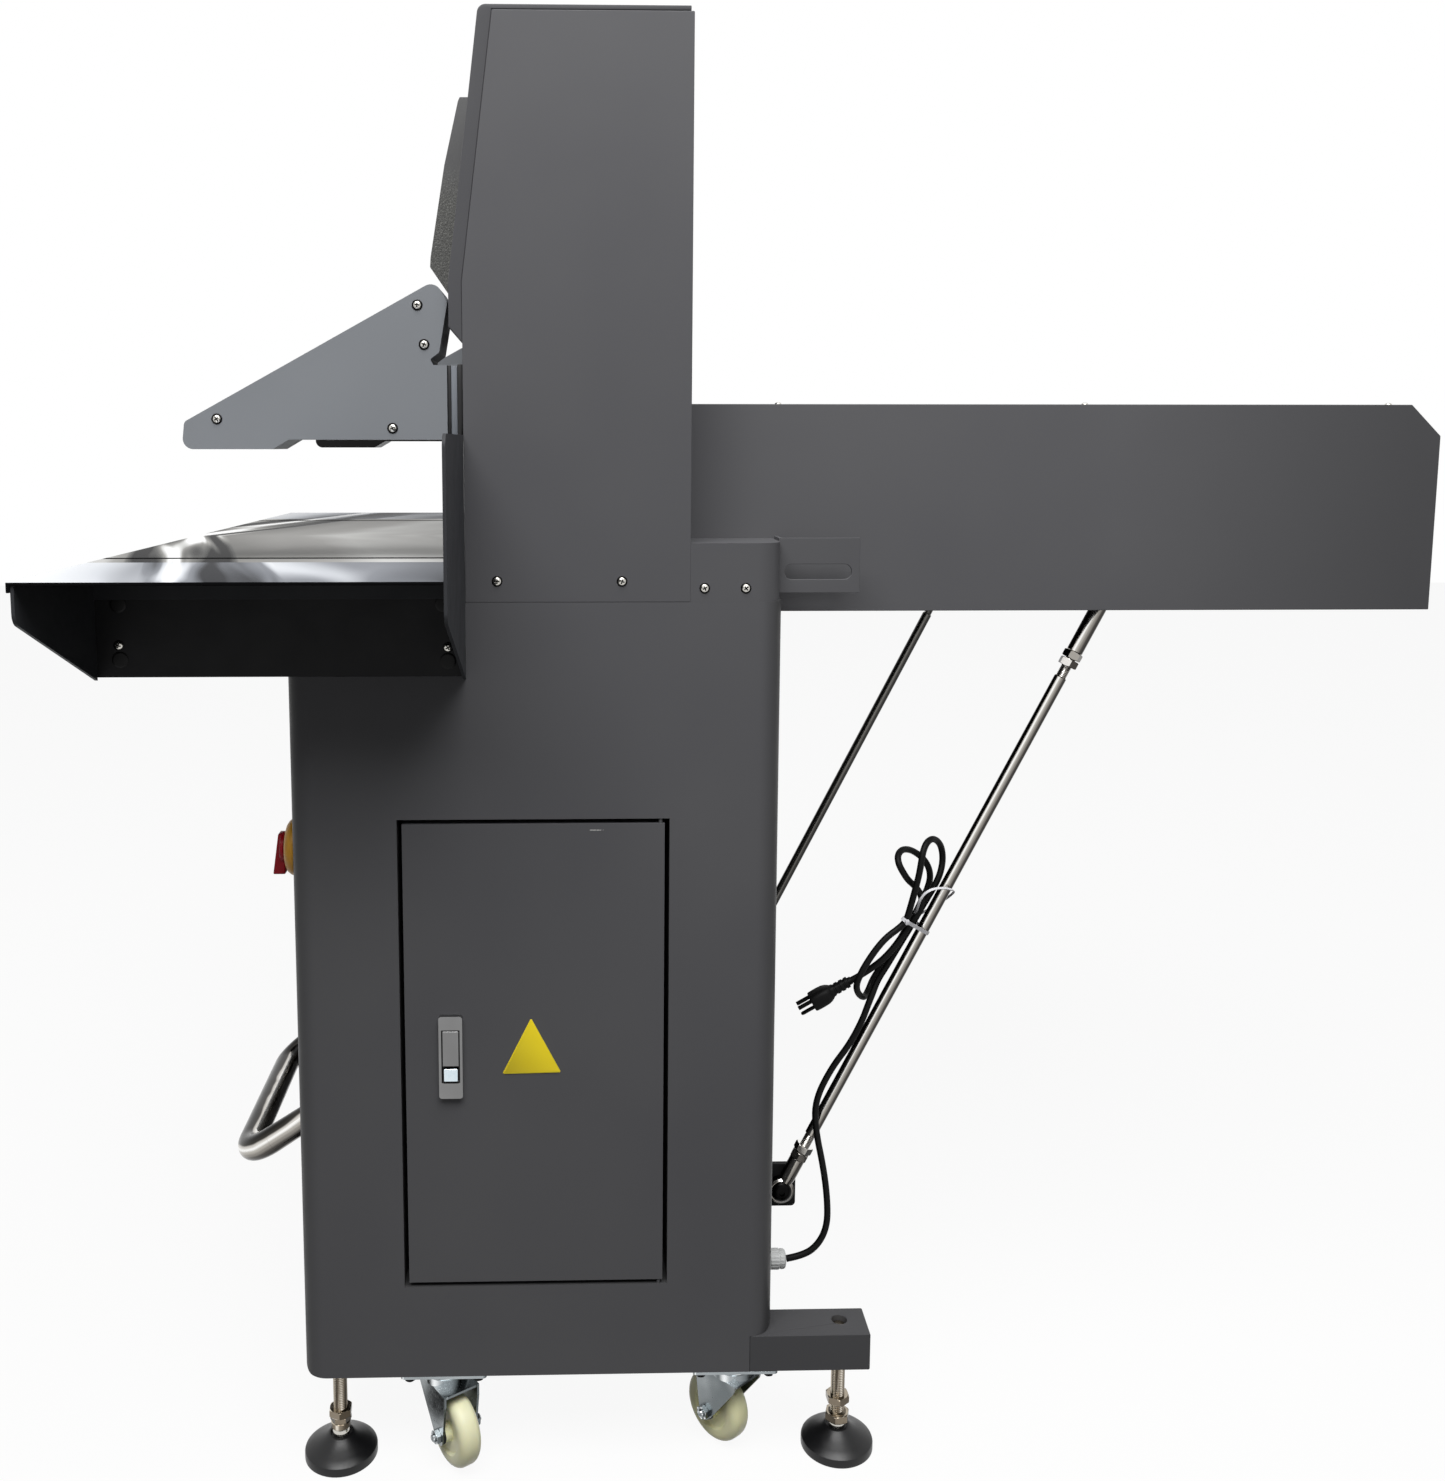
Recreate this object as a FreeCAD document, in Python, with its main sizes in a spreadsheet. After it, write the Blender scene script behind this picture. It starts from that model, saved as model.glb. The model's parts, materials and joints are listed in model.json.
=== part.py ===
import FreeCAD, Part
import math
import os
import Sketcher

# Hydraulic paper cutter. X runs across the machine, Y from the operator's side to the rear, Z up from the floor.

doc = FreeCAD.newDocument("PaperCutter")
sizes = doc.addObject("Spreadsheet::Sheet", "Sizes")
rowCount = 0


def setSize(alias, value, note):
    global rowCount
    rowCount += 1
    sizes.set("A%d" % rowCount, note)
    sizes.set("B%d" % rowCount, str(value))
    sizes.setAlias("B%d" % rowCount, alias)
    return float(value)


# Main body sizes
machineWidth = setSize("machineWidth", 800, "width over the two side faces")
floorGap = setSize("floorGap", 105, "underside of the cabinet above the floor")
cabinetDepth = setSize("cabinetDepth", 493, "cabinet, front to rear")
cabinetFrontTop = setSize("cabinetFrontTop", 849, "top of the cabinet under the front table")
cabinetRearTop = setSize("cabinetRearTop", 922, "top of the cabinet under the head")
cabinetCorner = setSize("cabinetCorner", 25, "radius of the upright cabinet corners")
frontEdgeRound = setSize("frontEdgeRound", 9, "radius of the lower front edge of the cabinet")
rearEdgeRound = setSize("rearEdgeRound", 12, "radius of the lower rear edge of the cabinet")
tableReach = setSize("tableReach", 187, "front table ahead of the cabinet")
rearReach = setSize("rearReach", 691, "rear table behind the cabinet")
tableTop = setSize("tableTop", 962, "working surface above the floor")
tableThick = setSize("tableThick", 36, "thickness of the front table")
rearPlateThick = setSize("rearPlateThick", 12, "thickness of the rear table plate")
sheetThick = setSize("sheetThick", 3, "folded sheet parts")
# Head
headFront = setSize("headFront", 179, "front face of the head behind the cabinet front")
headRear = setSize("headRear", 400, "rear face of the head behind the cabinet front")
headTop = setSize("headTop", 1479, "top of the head sides")
columnWidth = setSize("columnWidth", 80, "width of a head column")
throatDrop = setSize("throatDrop", 293, "top of the opening between the columns below the head top")
slantDrop = setSize("slantDrop", 249, "start of the slanted head front below the head top")
slantBack = setSize("slantBack", 31, "how far the head front leans back at the top")
coverFront = setSize("coverFront", 13, "front cover proud of the columns")
coverTop = setSize("coverTop", 5, "top cover above the columns")
# Rear block and slotted bracket
blockSetback = setSize("blockSetback", 2, "rear corner block ahead of the cabinet rear")
blockTop = setSize("blockTop", 980, "top of the rear corner block")
slotPlateLength = setSize("slotPlateLength", 82, "length of the slotted plate")
slotPlateHeight = setSize("slotPlateHeight", 55, "height of the slotted plate")
slotPlateThick = setSize("slotPlateThick", 4, "thickness of the slotted plate")
slotPlateInset = setSize("slotPlateInset", 30, "slotted plate inside the side face")
slotHeight = setSize("slotHeight", 15.5, "height of the slot")
slotLength = setSize("slotLength", 72, "length of the slot")
slotStart = setSize("slotStart", 2, "slot behind the rear corner block")
slotDrop = setSize("slotDrop", 34, "middle of the slot below the top of the slotted plate")
slotPlateRise = setSize("slotPlateRise", 3, "slotted plate above the rear corner block")
slotFlange = setSize("slotFlange", 34, "flange of the slotted plate on the block")
# Control panel
panelWidth = setSize("panelWidth", 300, "width of the control panel")
# Rear table
rearInset = setSize("rearInset", 74, "rear side panel inside the side face")
rearPanelTop = setSize("rearPanelTop", 1117, "top of the rear side panels")
rearPanelBottom = setSize("rearPanelBottom", 904, "bottom of the rear side panels")
rearChamfer = setSize("rearChamfer", 32, "corner cut of the rear side panels")
# Wings
wingWidth = setSize("wingWidth", 197, "width of a side table")
wingBackTop = setSize("wingBackTop", 1085, "top of the side table back plate")
wingOuterBottom = setSize("wingOuterBottom", 927, "bottom of the outer edge of the brackets")
wingRootBottom = setSize("wingRootBottom", 846, "bottom of the brackets at the side face")
# Arms
armThick = setSize("armThick", 72, "width of a guard arm")
armInset = setSize("armInset", 8, "guard arm inside the side face")
# Door
doorStart = setSize("doorStart", 113, "front edge of the door behind the cabinet front")
doorWidth = setSize("doorWidth", 263, "width of the door")
doorBottom = setSize("doorBottom", 211, "lower edge of the door above the floor")
doorHeight = setSize("doorHeight", 488, "height of the door")
doorGap = setSize("doorGap", 5, "gap round the door")
doorDeep = setSize("doorDeep", 18, "depth of the folded door edge")
doorSheet = setSize("doorSheet", 2, "thickness of the door sheet")
boxDeep = setSize("boxDeep", 170, "depth of the compartment behind the door")
# Casters and feet
casterInset = setSize("casterInset", 27, "swivel axis inside the side face")
casterFrontY = setSize("casterFrontY", 147, "front casters behind the cabinet front")
casterRearIn = setSize("casterRearIn", 39, "rear casters ahead of the cabinet rear")
wheelRadius = setSize("wheelRadius", 37.5, "radius of a caster wheel")
wheelWidth = setSize("wheelWidth", 25, "width of a caster wheel")
casterTrail = setSize("casterTrail", 20.5, "axle behind the swivel axis")
casterLift = setSize("casterLift", 2, "wheels above the floor while the feet carry")
axleRadius = setSize("axleRadius", 4, "radius of the wheel axle")
pinPlay = setSize("pinPlay", 0.05, "running clearance round a pin")
footInset = setSize("footInset", 27, "levelling foot inside the side face")
footFrontY = setSize("footFrontY", 34, "front feet behind the cabinet front")
footRearOut = setSize("footRearOut", 75, "rear feet behind the cabinet rear")
footRadius = setSize("footRadius", 38.5, "radius of a foot pad")
screwRadius = setSize("screwRadius", 7.5, "radius of the levelling screw")
outriggerOut = setSize("outriggerOut", 103.5, "outrigger behind the cabinet rear")
outriggerIn = setSize("outriggerIn", 24.5, "notch for the outriggers ahead of the cabinet rear")
outriggerWidth = setSize("outriggerWidth", 46, "width of the outrigger tube")
outriggerHeight = setSize("outriggerHeight", 40, "height of the outrigger tube")
# Smaller parts
pedalLeft = setSize("pedalLeft", -33, "left arm of the foot bar")
pedalRight = setSize("pedalRight", 245, "right arm of the foot bar")
pedalRadius = setSize("pedalRadius", 12.7, "radius of the foot bar tube")
pedalNoseY = setSize("pedalNoseY", -91.5, "foot bar ahead of the cabinet front")
pedalNoseZ = setSize("pedalNoseZ", 268, "foot bar above the floor")
pedalPivotY = setSize("pedalPivotY", 75, "foot bar pivot behind the cabinet front")
pedalPivotZ = setSize("pedalPivotZ", 377, "foot bar pivot above the floor")
pedalPin = setSize("pedalPin", 6, "radius of the foot bar pivot")
slotPlay = setSize("slotPlay", 6, "room beside the foot bar in its slots")
pedalTravel = setSize("pedalTravel", 8, "foot bar travel in degrees")
hingePin = setSize("hingePin", 2, "radius of the door pins")
lockY = setSize("lockY", 159.3, "middle of the lock behind the cabinet front")
lockZ = setSize("lockZ", 457.7, "middle of the lock above the floor")
lockWidth = setSize("lockWidth", 24, "width of the lock")
lockHeight = setSize("lockHeight", 87, "height of the lock")
lockProud = setSize("lockProud", 6, "lock body in front of the door")
lockPin = setSize("lockPin", 0.8, "radius of the lock handle pin")
handleThick = setSize("handleThick", 3.5, "thickness of the lock handle")
handleLong = setSize("handleLong", 37, "length of the lock handle")
footNut = setSize("footNut", 22.5, "levelling nuts across the flats")
padBand = setSize("padBand", 9, "upright edge of a foot pad")
padTop = setSize("padTop", 25, "top of the foot pad")
lowNut = setSize("lowNut", 34, "underside of the lower levelling nut")
lowNutHigh = setSize("lowNutHigh", 11, "height of the lower levelling nut")
frontNut = setSize("frontNut", 47, "underside of the upper nut on the front feet")
rearNut = setSize("rearNut", 62, "underside of the upper nut on the rear feet")
highNut = setSize("highNut", 14, "height of an upper levelling nut")
plateThick = setSize("plateThick", 3, "thickness of a caster plate")
plateLong = setSize("plateLong", 90, "caster plate along the machine")
plateWide = setSize("plateWide", 54, "caster plate across the machine")
kingPin = setSize("kingPin", 6, "radius of the king pin")
legOuter = setSize("legOuter", 21, "outer face of a fork leg beside the swivel axis")
legThick = setSize("legThick", 2.5, "thickness of the fork sheet")
legFront = setSize("legFront", 34, "front edge of the fork legs ahead of the swivel axis")
axleHead = setSize("axleHead", 4, "head of the axle bolt")
hubHalf = setSize("hubHalf", 17, "half length of the wheel hub")
frameWall = setSize("frameWall", 30, "wall of the front table frame")
coverReturn = setSize("coverReturn", 14, "height of the slanted lower edge of the front cover")
panelDrop = setSize("panelDrop", 20, "top of the control panel below the head top")
panelHigh = setSize("panelHigh", 185, "height of the control panel face")
panelProud = setSize("panelProud", 41, "lower edge of the control panel ahead of the front cover")
clampDrop = setSize("clampDrop", 105, "underside of the raised clamp beam below the top of the opening")
carrierDrop = setSize("carrierDrop", 90, "underside of the knife carrier below the top of the opening")
beamPlay = setSize("beamPlay", 4, "room beside the clamp beam and the knife carrier")
carrierThick = setSize("carrierThick", 24, "thickness of the knife carrier")
knifeThick = setSize("knifeThick", 12, "thickness of the knife")
rodX = setSize("rodX", 284, "tie rods from the middle of the machine")
rodTopOut = setSize("rodTopOut", 369, "upper rod pin behind the cabinet rear")
rodTopZ = setSize("rodTopZ", 926, "upper rod pin above the floor")
rodLowOut = setSize("rodLowOut", 24, "lower rod pin behind the cabinet rear")
rodLowZ = setSize("rodLowZ", 243.5, "lower rod pin above the floor")
rodRadius = setSize("rodRadius", 6.6, "radius of a tie rod")
lugThick = setSize("lugThick", 6, "thickness of the rod lugs")
rodPin = setSize("rodPin", 5, "radius of the rod pins")
eyeHalf = setSize("eyeHalf", 8, "half width of a rod eye")
gaugeOut = setSize("gaugeOut", 137, "back gauge behind the cabinet rear")
eyeRadius = setSize("eyeRadius", 14.5, "radius of a rod eye")
shankRadius = setSize("shankRadius", 8.5, "radius of the rod end shanks")
rodNut = setSize("rodNut", 18, "rod nuts across the flats")
lowShank = setSize("lowShank", 42, "lower nuts above the lower pin")
topShank = setSize("topShank", 81, "upper nuts below the upper pin")
nutPair = setSize("nutPair", 17, "length of a pair of nuts")
threadLong = setSize("threadLong", 13, "bare thread beside the nuts")
switchX = setSize("switchX", 342, "middle of the main switch")
switchZ = setSize("switchZ", 661, "middle of the main switch above the floor")
switchSize = setSize("switchSize", 48, "switch plate, square")
switchDeep = setSize("switchDeep", 13, "depth of the switch base")
spindle = setSize("spindle", 4, "radius of the switch spindle")
gap = setSize("switchGap", 1, "turning gap behind the switch handle")
bend = setSize("bend", 40, "bend radius of the foot bar")
glandX = setSize("glandX", 330, "cord gland from the middle of the machine")
glandZ = setSize("glandZ", 188.5, "cord gland above the floor")
glandLong = setSize("glandLong", 23, "length of the cord gland")
glandRadius = setSize("glandRadius", 11.5, "radius of the cord gland")
cordRadius = setSize("cordRadius", 3.6, "radius of the mains cord")
hankHalf = setSize("hankHalf", 14, "half thickness of the hung cord hank")
plugHalf = setSize("plugHalf", 12, "half thickness of the plug")

halfWidth = machineWidth / 2
overall = tableReach + cabinetDepth + rearReach
front = -overall / 2 + tableReach
back = front + cabinetDepth
rearEnd = back + rearReach
throatHalf = halfWidth - columnWidth
throatTop = headTop - throatDrop
slantStart = headTop - slantDrop
blockEnd = back - blockSetback
casterRearY = cabinetDepth - casterRearIn
footRearY = cabinetDepth + footRearOut


def planeOf(body, role):
    for feature in body.Origin.OriginFeatures:
        if feature.Role == role:
            return feature
    return None


def addLoop(sketch, points):
    # Points are (x, y) or (x, y, radius of the rounded corner)
    count = len(points)
    vectors = [FreeCAD.Vector(p[0], p[1], 0) for p in points]
    radii = [p[2] if len(p) > 2 else 0 for p in points]
    starts = []
    ends = []
    middles = []
    for i in range(count):
        here = vectors[i]
        before = vectors[i - 1]
        after = vectors[(i + 1) % count]
        radius = radii[i]
        if radius <= 0:
            starts.append(here)
            ends.append(here)
            middles.append(None)
            continue
        back1 = (before - here).normalize()
        on1 = (after - here).normalize()
        turn = math.acos(max(-1, min(1, back1.dot(on1))))
        reach = radius / math.tan(turn / 2)
        starts.append(here + back1 * reach)
        ends.append(here + on1 * reach)
        bisector = (back1 + on1).normalize()
        middles.append(here + bisector * (radius / math.sin(turn / 2) - radius))
    edges = []
    for i in range(count):
        if middles[i] is not None:
            edges.append(Part.Arc(starts[i], middles[i], ends[i]))
        following = starts[(i + 1) % count]
        if (following - ends[i]).Length > 1e-6:
            edges.append(Part.LineSegment(ends[i], following))
    first = sketch.GeometryCount
    for edge in edges:
        sketch.addGeometry(edge, False)
    return first


def addCircle(sketch, x, y, radius):
    circle = Part.Circle(FreeCAD.Vector(x, y, 0), FreeCAD.Vector(0, 0, 1), radius)
    sketch.addGeometry(circle, False)


def newSketch(body, role, offset, loops=(), circles=()):
    sketch = body.newObject("Sketcher::SketchObject", body.Name + "Sketch")
    sketch.AttachmentSupport = [(planeOf(body, role), "")]
    sketch.MapMode = "FlatFace"
    sketch.AttachmentOffset = FreeCAD.Placement(FreeCAD.Vector(0, 0, offset), FreeCAD.Rotation())
    for loop in loops:
        addLoop(sketch, loop)
    for x, y, radius in circles:
        addCircle(sketch, x, y, radius)
    return sketch


def bindOrSet(feature, name, value):
    if isinstance(value, str):
        feature.setExpression(name, value)
    else:
        setattr(feature, name, value)


def newBody(label):
    return doc.addObject("PartDesign::Body", label)


def pad(body, role, offset, length, loops=(), circles=(), reverse=False):
    sketch = newSketch(body, role, offset, loops, circles)
    feature = body.newObject("PartDesign::Pad", body.Name + "Pad")
    feature.Profile = sketch
    bindOrSet(feature, "Length", length)
    feature.Reversed = reverse
    doc.recompute()
    return feature


def pocket(body, role, offset, length, loops=(), circles=(), reverse=False):
    sketch = newSketch(body, role, offset, loops, circles)
    feature = body.newObject("PartDesign::Pocket", body.Name + "Pocket")
    feature.Profile = sketch
    bindOrSet(feature, "Length", length)
    feature.Reversed = reverse
    before = body.Shape.Volume
    doc.recompute()
    if abs(feature.Shape.Volume - before) < 1e-3:
        feature.Reversed = not reverse
        doc.recompute()
    return feature


def revolve(body, role, offset, loop, axis="V_Axis"):
    sketch = newSketch(body, role, offset, [loop])
    feature = body.newObject("PartDesign::Revolution", body.Name + "Revolution")
    feature.Profile = sketch
    feature.ReferenceAxis = (sketch, [axis])
    feature.Angle = 360
    doc.recompute()
    return feature


def rect(x0, y0, x1, y1, radius=0):
    return [(x0, y0, radius), (x1, y0, radius), (x1, y1, radius), (x0, y1, radius)]


def box(label, x0, x1, y0, y1, z0, z1):
    body = newBody(label)
    pad(body, "XY_Plane", z0, z1 - z0, [rect(x0, y0, x1, y1)])
    return body


sides = (("right", 1), ("left", -1))


def span(side, inner, outer):
    # X range on one side of the machine, from the values on the right-hand side
    return (inner, outer) if side > 0 else (-outer, -inner)


nodes = []


def keep(node):
    nodes.append(node)
    return node


# Cabinet with the compartment behind the door and the two slots of the foot bar

cabinet = newBody("cabinet")
outline = rect(-halfWidth, front, halfWidth, back, cabinetCorner)
pad(cabinet, "XY_Plane", floorGap, "Sizes.cabinetRearTop - Sizes.floorGap", [outline])
pocket(cabinet, "YZ_Plane", -halfWidth - 5, machineWidth + 10,
       [rect(front - 5, cabinetFrontTop, front + headFront, cabinetRearTop + 5)], reverse=True)
doorY0 = front + doorStart
doorY1 = doorY0 + doorWidth
doorZ0 = doorBottom
doorZ1 = doorBottom + doorHeight
mouth = rect(doorY0 - doorGap, doorZ0 - doorGap, doorY1 + doorGap, doorZ1 + doorGap)
pocket(cabinet, "YZ_Plane", halfWidth - boxDeep, boxDeep + 5, [mouth], reverse=True)
rise = (pedalPivotZ - pedalNoseZ) / (pedalPivotY - pedalNoseY)
armAtFront = pedalPivotZ - pedalPivotY * rise
armHalf = pedalRadius * math.hypot(1, rise)
armDrop = math.hypot(pedalPivotY, pedalPivotZ - armAtFront) * math.radians(pedalTravel) * 1.3
for armX in (pedalLeft, pedalRight):
    slotHalf = pedalRadius + slotPlay
    pocket(cabinet, "YZ_Plane", armX - slotHalf, 2 * slotHalf,
           [rect(front + sheetThick, armAtFront - armHalf - armDrop - 3 * slotPlay,
                 front + pedalPivotY + pedalRadius + 2 * slotPlay, pedalPivotZ + pedalRadius + 3 * slotPlay)],
           reverse=True)
    pocket(cabinet, "YZ_Plane", armX - slotHalf, 2 * slotHalf,
           [rect(front - 5, armAtFront - armHalf - armDrop - slotPlay, front + sheetThick + 1,
                 armAtFront + armHalf + slotPlay)], reverse=True)
    pocket(cabinet, "YZ_Plane", armX - slotHalf - 20, 2 * slotHalf + 40,
           circles=[(front + pedalPivotY, pedalPivotZ, pedalPin + pinPlay)], reverse=True)
notchTop = floorGap + outriggerHeight
rearNotch = [(back - outriggerIn, floorGap - 5), (back - outriggerIn, notchTop), (back, notchTop, rearEdgeRound),
             (back, notchTop + rearEdgeRound), (back + 5, notchTop + rearEdgeRound), (back + 5, floorGap - 5)]
pocket(cabinet, "YZ_Plane", -halfWidth - 5, machineWidth + 10, [rearNotch], reverse=True)
lowerEdge = [(front - 5, floorGap - 5), (front + frontEdgeRound, floorGap - 5), (front + frontEdgeRound, floorGap),
             (front, floorGap, frontEdgeRound), (front, floorGap + frontEdgeRound),
             (front - 5, floorGap + frontEdgeRound)]
pocket(cabinet, "YZ_Plane", -halfWidth - 5, machineWidth + 10, [lowerEdge], reverse=True)
hingeX = halfWidth - 3
hingeY = doorY1 - 4
pad(cabinet, "XY_Plane", doorZ0 - doorGap, doorGap + doorSheet, circles=[(hingeX, hingeY, hingePin)])
pad(cabinet, "XY_Plane", doorZ1 - doorSheet, doorGap + doorSheet, circles=[(hingeX, hingeY, hingePin)])
keep(cabinet)

# Door, a folded sheet with bores for the two pins
door = newBody("door")
x0 = halfWidth - doorDeep
pad(door, "YZ_Plane", x0, "Sizes.doorDeep", [rect(doorY0, doorZ0, doorY1, doorZ1)])
pocket(door, "YZ_Plane", x0 - 1, doorDeep - doorSheet + 1,
       [rect(doorY0 + doorSheet, doorZ0 + doorSheet, doorY1 - doorSheet, doorZ1 - doorSheet)], reverse=True)
pocket(door, "XY_Plane", doorZ0 - 1, doorHeight + 2,
       circles=[(hingeX, hingeY, hingePin + pinPlay)], reverse=True)
keep(door)

# Lock with its push button and the handle that swings out
lock = newBody("lock_body")
y = front + lockY
pad(lock, "YZ_Plane", halfWidth, "Sizes.lockProud",
    [rect(y - lockWidth / 2, lockZ - lockHeight / 2, y + lockWidth / 2, lockZ + lockHeight / 2, 3)])
pocket(lock, "YZ_Plane", halfWidth + 1.5, lockProud,
       [rect(y - 9, lockZ - 27.2, y + 9, lockZ + 29.2, 2)], reverse=True)
pad(lock, "YZ_Plane", halfWidth + 1.4, 4, [rect(y - 7.5, lockZ - 25.5, y + 7.5, lockZ - 11.5, 2)])
handleX = halfWidth + 2
handleTop = lockZ + 28
pinX = handleX + handleThick / 2
pinZ = handleTop - handleThick / 2
pad(lock, "XZ_Plane", -(y + 10.5), 21, circles=[(pinX, pinZ, lockPin)])
keep(lock)
lockHandle = newBody("lock_handle")
round1 = handleThick / 2 - 0.01
pad(lockHandle, "XZ_Plane", -(y + 8), 16,
    [[(handleX, handleTop - handleLong), (handleX + handleThick, handleTop - handleLong),
      (handleX + handleThick, handleTop, round1),
      (handleX, handleTop, round1)]])
pocket(lockHandle, "XZ_Plane", -(y + 12), 24, circles=[(pinX, pinZ, lockPin + pinPlay)], reverse=True)
keep(lockHandle)

# Outriggers with the hole of the rear levelling screws
for name, side in sides:
    x0, x1 = span(side, halfWidth - outriggerWidth, halfWidth)
    outrigger = newBody("outrigger_" + name)
    pad(outrigger, "XY_Plane", floorGap, "Sizes.outriggerHeight",
        [rect(x0, back - outriggerIn, x1, back + outriggerOut)])
    footX = side * (halfWidth - footInset)
    pocket(outrigger, "XY_Plane", floorGap - 1, outriggerHeight + 2,
           circles=[(footX, front + footRearY, screwRadius + 0.5)], reverse=True)
    keep(outrigger)

# Levelling feet, each a domed pad, a ball, a screw and two hexagon nuts


def hexagon(acrossFlats):
    radius = acrossFlats / math.sqrt(3)
    return [(radius * math.cos(math.radians(60 * i)), radius * math.sin(math.radians(60 * i))) for i in range(6)]


for end, footY in (("front", footFrontY), ("rear", footRearY)):
    for name, side in sides:
        foot = newBody("foot_%s_%s" % (end, name))
        top = floorGap if end == "front" else floorGap + outriggerHeight - 6
        profile = [(0, 0), (footRadius, 0), (footRadius, padBand, 3), (footRadius - 10, padBand + 5, 12),
                   (12, padTop - 1, 3), (10, padTop), (8.5, padTop - 2), (7.5, lowNut - 3), (screwRadius, lowNut),
                   (screwRadius, top), (0, top)]
        revolve(foot, "XZ_Plane", 0, profile)
        pad(foot, "XY_Plane", lowNut, "Sizes.lowNutHigh", [hexagon(footNut)])
        pad(foot, "XY_Plane", frontNut if end == "front" else rearNut, "Sizes.highNut", [hexagon(footNut)])
        foot.Placement = FreeCAD.Placement(
            FreeCAD.Vector(side * (halfWidth - footInset), front + footY, 0), FreeCAD.Rotation())
        keep(foot)

# Casters, each a fixed plate with its king pin, a turning fork with the axle, and a wheel
headings = {("front", "right"): 34, ("front", "left"): 146, ("rear", "right"): 220, ("rear", "left"): -40}
raceTop = floorGap - plateThick - 1
axleZ = casterLift + wheelRadius
for end, casterY in (("front", casterFrontY), ("rear", casterRearY)):
    for name, side in sides:
        tag = "%s_%s" % (end, name)
        place = FreeCAD.Vector(side * (halfWidth - casterInset), front + casterY, 0)
        turn = FreeCAD.Rotation(FreeCAD.Vector(0, 0, 1), headings[(end, name)])
        plate = newBody("caster_plate_" + tag)
        pad(plate, "XY_Plane", floorGap - plateThick, "Sizes.plateThick",
            [rect(-plateWide / 2, -plateLong / 2, plateWide / 2, plateLong / 2, 4)])
        pad(plate, "XY_Plane", raceTop - 15, 17, circles=[(0, 0, kingPin)])
        plate.Placement = FreeCAD.Placement(place, FreeCAD.Rotation())
        keep(plate)
        fork = newBody("caster_fork_" + tag)
        crown = raceTop - 12
        pad(fork, "XY_Plane", crown, 12, circles=[(0, 0, 23)])
        pad(fork, "XY_Plane", crown - legThick, "Sizes.legThick", [rect(-23, -legOuter, legFront, legOuter, 5)])
        pocket(fork, "XY_Plane", raceTop - 20, 25, circles=[(0, 0, kingPin + pinPlay)], reverse=True)
        leg = [(-23, crown), (-21, crown - 8), (casterTrail - 9, axleZ - 3, 5), (casterTrail - 2, axleZ - 10, 5),
               (casterTrail + 7, axleZ - 9, 5), (legFront, crown - 12, 8), (legFront, crown)]
        pad(fork, "XZ_Plane", legOuter - legThick, "Sizes.legThick", [leg])
        pad(fork, "XZ_Plane", -(legOuter - legThick), "Sizes.legThick", [leg], reverse=True)
        pad(fork, "XZ_Plane", -legOuter - 1, 2 * legOuter + 2, circles=[(casterTrail, axleZ, axleRadius)])
        pad(fork, "XZ_Plane", legOuter, "Sizes.axleHead", circles=[(casterTrail, axleZ, 6.5)])
        pad(fork, "XZ_Plane", -legOuter, "Sizes.axleHead", circles=[(casterTrail, axleZ, 6.5)], reverse=True)
        fork.Placement = FreeCAD.Placement(place, turn)
        keep(fork)
        wheel = newBody("caster_wheel_" + tag)
        half = wheelWidth / 2
        bore = axleRadius + pinPlay
        tread = [(bore, -hubHalf), (9, -hubHalf), (10, 3 - half), (22, 2.5 - half), (25, -half),
                 (wheelRadius, -half, 9), (wheelRadius, half, 9), (25, half), (22, half - 2.5),
                 (10, half - 3), (9, hubHalf), (bore, hubHalf)]
        revolve(wheel, "XY_Plane", 0, tread)
        axle = FreeCAD.Vector(casterTrail, 0, axleZ)
        wheel.Placement = FreeCAD.Placement(place + turn.multVec(axle), turn)
        keep(wheel)

# Front table and its frame
frame = newBody("table_frame")
pad(frame, "XY_Plane", cabinetFrontTop, tableTop - tableThick - cabinetFrontTop,
    [rect(-halfWidth, front - tableReach, halfWidth, front + headFront)])
pocket(frame, "XY_Plane", cabinetFrontTop - 1, tableTop - tableThick - cabinetFrontTop + 2,
       [rect(-halfWidth + frameWall, front - tableReach + frameWall, halfWidth - frameWall,
             front + headFront - frameWall)], reverse=True)
keep(frame)
table = newBody("main_table")
pad(table, "XY_Plane", tableTop - tableThick, "Sizes.tableThick",
    [[(-halfWidth, front - tableReach), (halfWidth, front - tableReach), (halfWidth, front + headFront),
      (throatHalf, front + headFront), (throatHalf, front + headRear), (-throatHalf, front + headRear),
      (-throatHalf, front + headFront), (-halfWidth, front + headFront)]])
stickY = front + 210
pocket(table, "YZ_Plane", -throatHalf - 1, 2 * throatHalf + 2,
       [rect(stickY - 5, tableTop - 5, stickY + 5, tableTop + 1)], reverse=True)
keep(table)

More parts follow.
